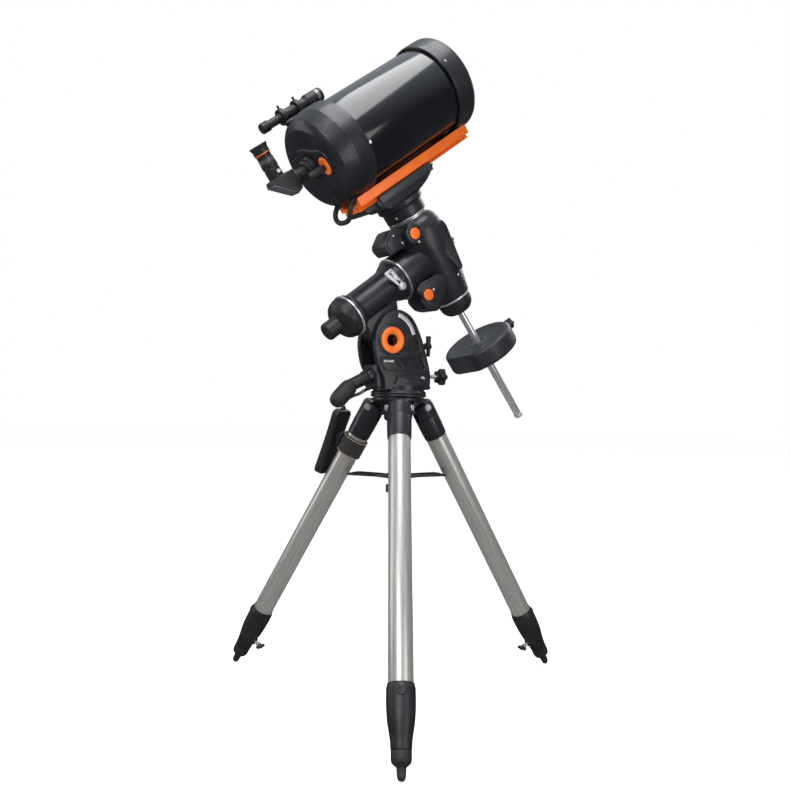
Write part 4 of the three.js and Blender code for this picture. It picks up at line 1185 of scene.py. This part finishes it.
def make_rear_cell():
    """The rear cell and its screws."""
    cup = lathe([(SEAT_R, -65), (113.4, -65), (114.7, -66), (115.1, -70), (CELL_R, -76), (CELL_R, -108),
        (105.4, -144), (99, -151), (88, BACK), (34, BACK), (32, BACK + 2), (29, BACK + 2), (28.5, BACK),
        (19.6, BACK), (19.6, 70), (22, 70), (22, -149), (86, -148), (98, -136), (104, -118), (104, -97),
        (SEAT_R, -97)], 1.2, 192)
    add("rear_cell_casting", moved(cup, ALONG_Y), "casting", "ota", OTA, ["rear_cell"])
    make_back_relief()
    for i, angle in enumerate((-58, -36, -14, 8, 122, 144, 166, 188)):
        at = OTA @ turn(radians(angle), "Y") @ place(0, -84, 115.3)
        screw(f"rear_cell_screw_{i}", "ota", at, 2.6, 1.3, "plastic")
    tab = block((-3.4, 3.4), (-13, 5), (0, 1.0), 0.4)
    add("rear_cell_index_mark", tab, "white", "ota",
        OTA @ turn(radians(98), "Y") @ place(0, -62, 108.6))
    keep("primary_mirror", "mirror")


def make_back_relief():
    """The raised shield round the visual back, with its step down towards the rim."""
    outline = smooth([(-78, 28), (-46, 34), (-24, 46), (2, 44), (30, 34), (62, 26), (76, 8), (78, -14),
        (66, -34), (56, -56), (40, -70), (14, -74), (-16, -70), (-40, -58), (-58, -36), (-72, -8)], 160)
    shield = plate(outline, 0, 5, 2.4, [circle(0, 0, 29.2, 96)])
    at = OTA @ place(0, BACK + 2.2, 0) @ turn(pi / 2, "X")
    add("rear_cell_shield", shield, "casting", "ota", at)
    oval = smooth([(PLATE_X + 17 * cos(2 * pi * i / 16),
        PLATE_Z + 21 * sin(2 * pi * i / 16)) for i in range(16)], 96)
    seat = plate(oval, 0, 7.4, 1.4, [circle(FOCUS_X, FOCUS_Z, 6.6, 48)])
    add("focus_plate", seat, "orange", "ota", at)
    for i, (x, z) in enumerate(((0, 17), (12, 0), (4, -17))):
        screw(f"focus_plate_screw_{i}", "ota", at @ place(PLATE_X + x, PLATE_Z + z, 7.3), 2.2, 1.3)


def make_rear_fittings():
    """What stands on the rear cell: focus knob, visual back, diagonal, eyepiece, finder, handle."""
    at = OTA @ place(FOCUS_X, 0, FOCUS_Z)
    grip = lathe([(0, -206), (6.4, -206), (8.2, -204.6), (8.6, -201), (9.8, -170), (9.4, -167),
        (6, -166), (6, -152), (0, -152)], 1.2, 96)
    flute = joined(*repeated(18, lambda: rod((8.9, 0, 172), (7.7, 0, 200), 1.2, 1.0, 0.5, 12)))
    flute.transform(turn(pi, "X"))
    add("focus_knob_grip", moved(joined(grip, flute), ALONG_Y), "grip", "focus_knob", at, ["focus_knob"])
    back = lathe([(16.3, -181), (20.5, -181), (22, -179.8), (24, -178), (24, -168), (25, -166.5),
        (27, -165), (27, -157), (26.6, -156.3), (16.3, -156.3)], 0.7, 128)
    knurl = repeated(36, lambda: block((-0.9, 0.9), (23.4, 24.7), (-177, -169), 0.4))
    add("visual_back_adapter", moved(joined(back, *knurl), ALONG_Y), "plastic", "ota", OTA,
        ["visual_back"])
    make_diagonal()
    make_eyepiece()
    make_finder()
    make_carry_handle()


DIAGONAL_Y = -248
DIAGONAL_LOW = (-226, -29)
DIAGONAL_HIGH = (DIAGONAL_Y - 25, 14)


def make_diagonal():
    """The mirror diagonal behind the visual back, with its cover, screws and thumbscrew."""
    barrel = moved(ring(15.9, 13, -215, -160, 0.4), ALONG_Y)
    collar = moved(lathe([(13, -214), (20.5, -214), (21, -212.6), (21, -205), (18, -202), (13, -202)],
        0.8), ALONG_Y)
    prism = side_plate([(-213, -24), (-213, 22), (DIAGONAL_Y - 21, 22), DIAGONAL_HIGH, DIAGONAL_LOW],
        -20, 20, 1.6, corner=2)
    neck = lathe([(16.3, 18), (17.6, 18), (19, 21), (18, 23), (17.5, 44), (16.9, 46), (16.3, 46)], 0.6)
    neck.transform(Matrix.Translation((0, DIAGONAL_Y, 0)))
    add("diagonal_body", joined(barrel, collar, prism, neck), "plastic", "diagonal", OTA, ["diagonal"])
    low = Vector(DIAGONAL_LOW)
    high = Vector(DIAGONAL_HIGH)
    lean = atan2(high.y - low.y, high.x - low.x)
    middle = (low + high) / 2
    cover = plate(rounded([(-21, -31), (21, -31), (21, 31), (-21, 31)], 4, True), 0, 3, 1)
    at = OTA @ place(0, middle.x, middle.y) @ turn(lean, "X")
    add("diagonal_cover", cover, "cover", "diagonal", at)
    for i, (x, y) in enumerate(((-16, -26), (16, -26), (-16, 26), (16, 26))):
        screw(f"diagonal_screw_{i}", "diagonal", at @ place(x, y, 2.9), 1.8, 0.9, "plastic")
    thumb = joined(rod((17, DIAGONAL_Y, 34), (25, DIAGONAL_Y, 34), 2), rod((21, DIAGONAL_Y, 34),
        (28, DIAGONAL_Y, 34), 4.2, 4.2, 0.8, 32))
    add("diagonal_thumbscrew", thumb, "silver", "diagonal", OTA)


def make_eyepiece():
    """The eyepiece in the diagonal, its bands and its lens."""
    at = OTA @ place(0, DIAGONAL_Y, 0)
    body = lathe([(0, 14), (12, 14), (12, 8), (15.9, 8), (15.9, 46.3), (17.4, 46.3), (18, 47.2),
        (18, 59), (16.8, 61), (16.8, 78), (18.5, 80), (18.5, 92), (21.4, 98.6), (21.2, 100.2),
        (20, 101), (18.8, 100.4), (17, 94), (9, 92.6), (0, 92.2)], 0.8, 128)
    add("eyepiece_body", body, "plastic", "eyepiece", at, ["eyepiece"])
    add("eyepiece_band_orange", ring(18.9, 16.4, 79.6, 81.6, 0.4), "orange", "eyepiece", at)
    add("eyepiece_band_grey", ring(17.6, 16.4, 60.6, 69, 0.4), "cover", "eyepiece", at)
    ridges = [ring(18.6, 17.2, low, low + 1.4, 0.5) for low in (48.4, 51.2, 54)]
    add("eyepiece_grip_ridges", joined(*ridges), "grip", "eyepiece", at)
    lens = lathe([(0, 91.6), (8.8, 91.6), (8.8, 92.4), (5, 93.2), (0, 93.5)], 0.4, 64)
    add("eyepiece_lens", lens, "gloss", "eyepiece", at)


FINDER_X = -73
FINDER_Z = 125
FINDER_RINGS = (-118, -72)


def make_finder():
    """The finder scope in its bracket of two rings."""
    at = OTA @ place(FINDER_X, 0, FINDER_Z)
    tube = lathe([(0, -179), (8.4, -179), (9, -181), (11, -181), (12.4, -179.4), (12.5, -172),
        (12.0, -171), (12.5, -170), (12.5, -161), (10.6, -157), (10, -155), (10, -130), (12.4, -126),
        (13, -123), (13, -52), (14.6, -47), (17, -43.6), (17, -20), (16.4, -19), (17, -18), (17, -2),
        (16, 1), (14.6, 1), (14.4, -5), (0, -5.6)], 0.7, 128)
    add("finder_tube", moved(tube, ALONG_Y), "plastic", "ota", at, ["finder_scope"])
    for tag, low in (("rear", -15.5), ("front", -11)):
        band = moved(ring(17.3, 16.2, low, low + 1.6, 0.3), ALONG_Y)
        add(f"finder_band_{tag}", band, "silver", "ota", at)
    lens = moved(lathe([(0, -5.2), (14.3, -5.2), (14.3, -3.6), (8, -2.6), (0, -2.3)], 0.3, 96), ALONG_Y)
    add("finder_lens", lens, "gloss", "ota", at)
    lean = atan2(FINDER_X, FINDER_Z)
    bracket_at = at @ turn(lean, "Y")
    lift = hypot(FINDER_X, FINDER_Z) - CELL_R - 0.6
    parts = []
    for y in FINDER_RINGS:
        parts.append(moved(lathe([(14.4, y - 6), (18.6, y - 6), (19.5, y - 4.6), (19.5, y + 4.6),
            (18.6, y + 6), (14.4, y + 6)], 0.6), ALONG_Y))
    parts.append(block((-7, 7), (-124, -66), (-25, -17), 1.6))
    parts.append(block((-10, 10), (-102, -66), (-lift, -20), 1.6))
    add("finder_bracket_casting", joined(*parts), "plastic", "ota", bracket_at, ["finder_bracket"])
    for i, (y, angle) in enumerate((y, angle) for y in FINDER_RINGS for angle in (45, 135)):
        x = cos(radians(angle))
        z = sin(radians(angle))
        pin = joined(rod((13.6 * x, y, 13.6 * z), (27 * x, y, 27 * z), 1.6, 1.6, 0.2, 20),
            rod((21.4 * x, y, 21.4 * z), (27 * x, y, 27 * z), 3, 3, 0.7, 24))
        add(f"finder_screw_{i}", pin, "plastic", "ota", bracket_at)


def make_carry_handle():
    """A bent bar on two feet, low on the rear cell."""
    half = [(-33, -120, -100), (-35, -132, -108), (-37, -148, -118), (-34, -156, -134), (-20, -158, -142)]
    route = half + [(0, -158, -143.5)] + [(-x, y, z) for x, y, z in reversed(half)]
    add("carry_handle_loop", hose(route, 6), "grip", "ota", OTA, ["carry_handle"])
    for side, tag in ((-1, "left"), (1, "right")):
        foot = rod((side * 33, -118, -100), (side * 36, -136, -112), 8.4, 7.2, 1.2, 48)
        add(f"carry_handle_foot_{tag}", foot, "plastic", "ota", OTA)


make_tripod_head()
make_tray()
for leg_name in LEGS:
    make_leg(leg_name)
make_controller()
make_fork()
make_base_screws()
make_polar_axis()
make_turning_half()
make_saddle()
make_tube()
make_front_cell()
make_rear_cell()
make_rear_fittings()
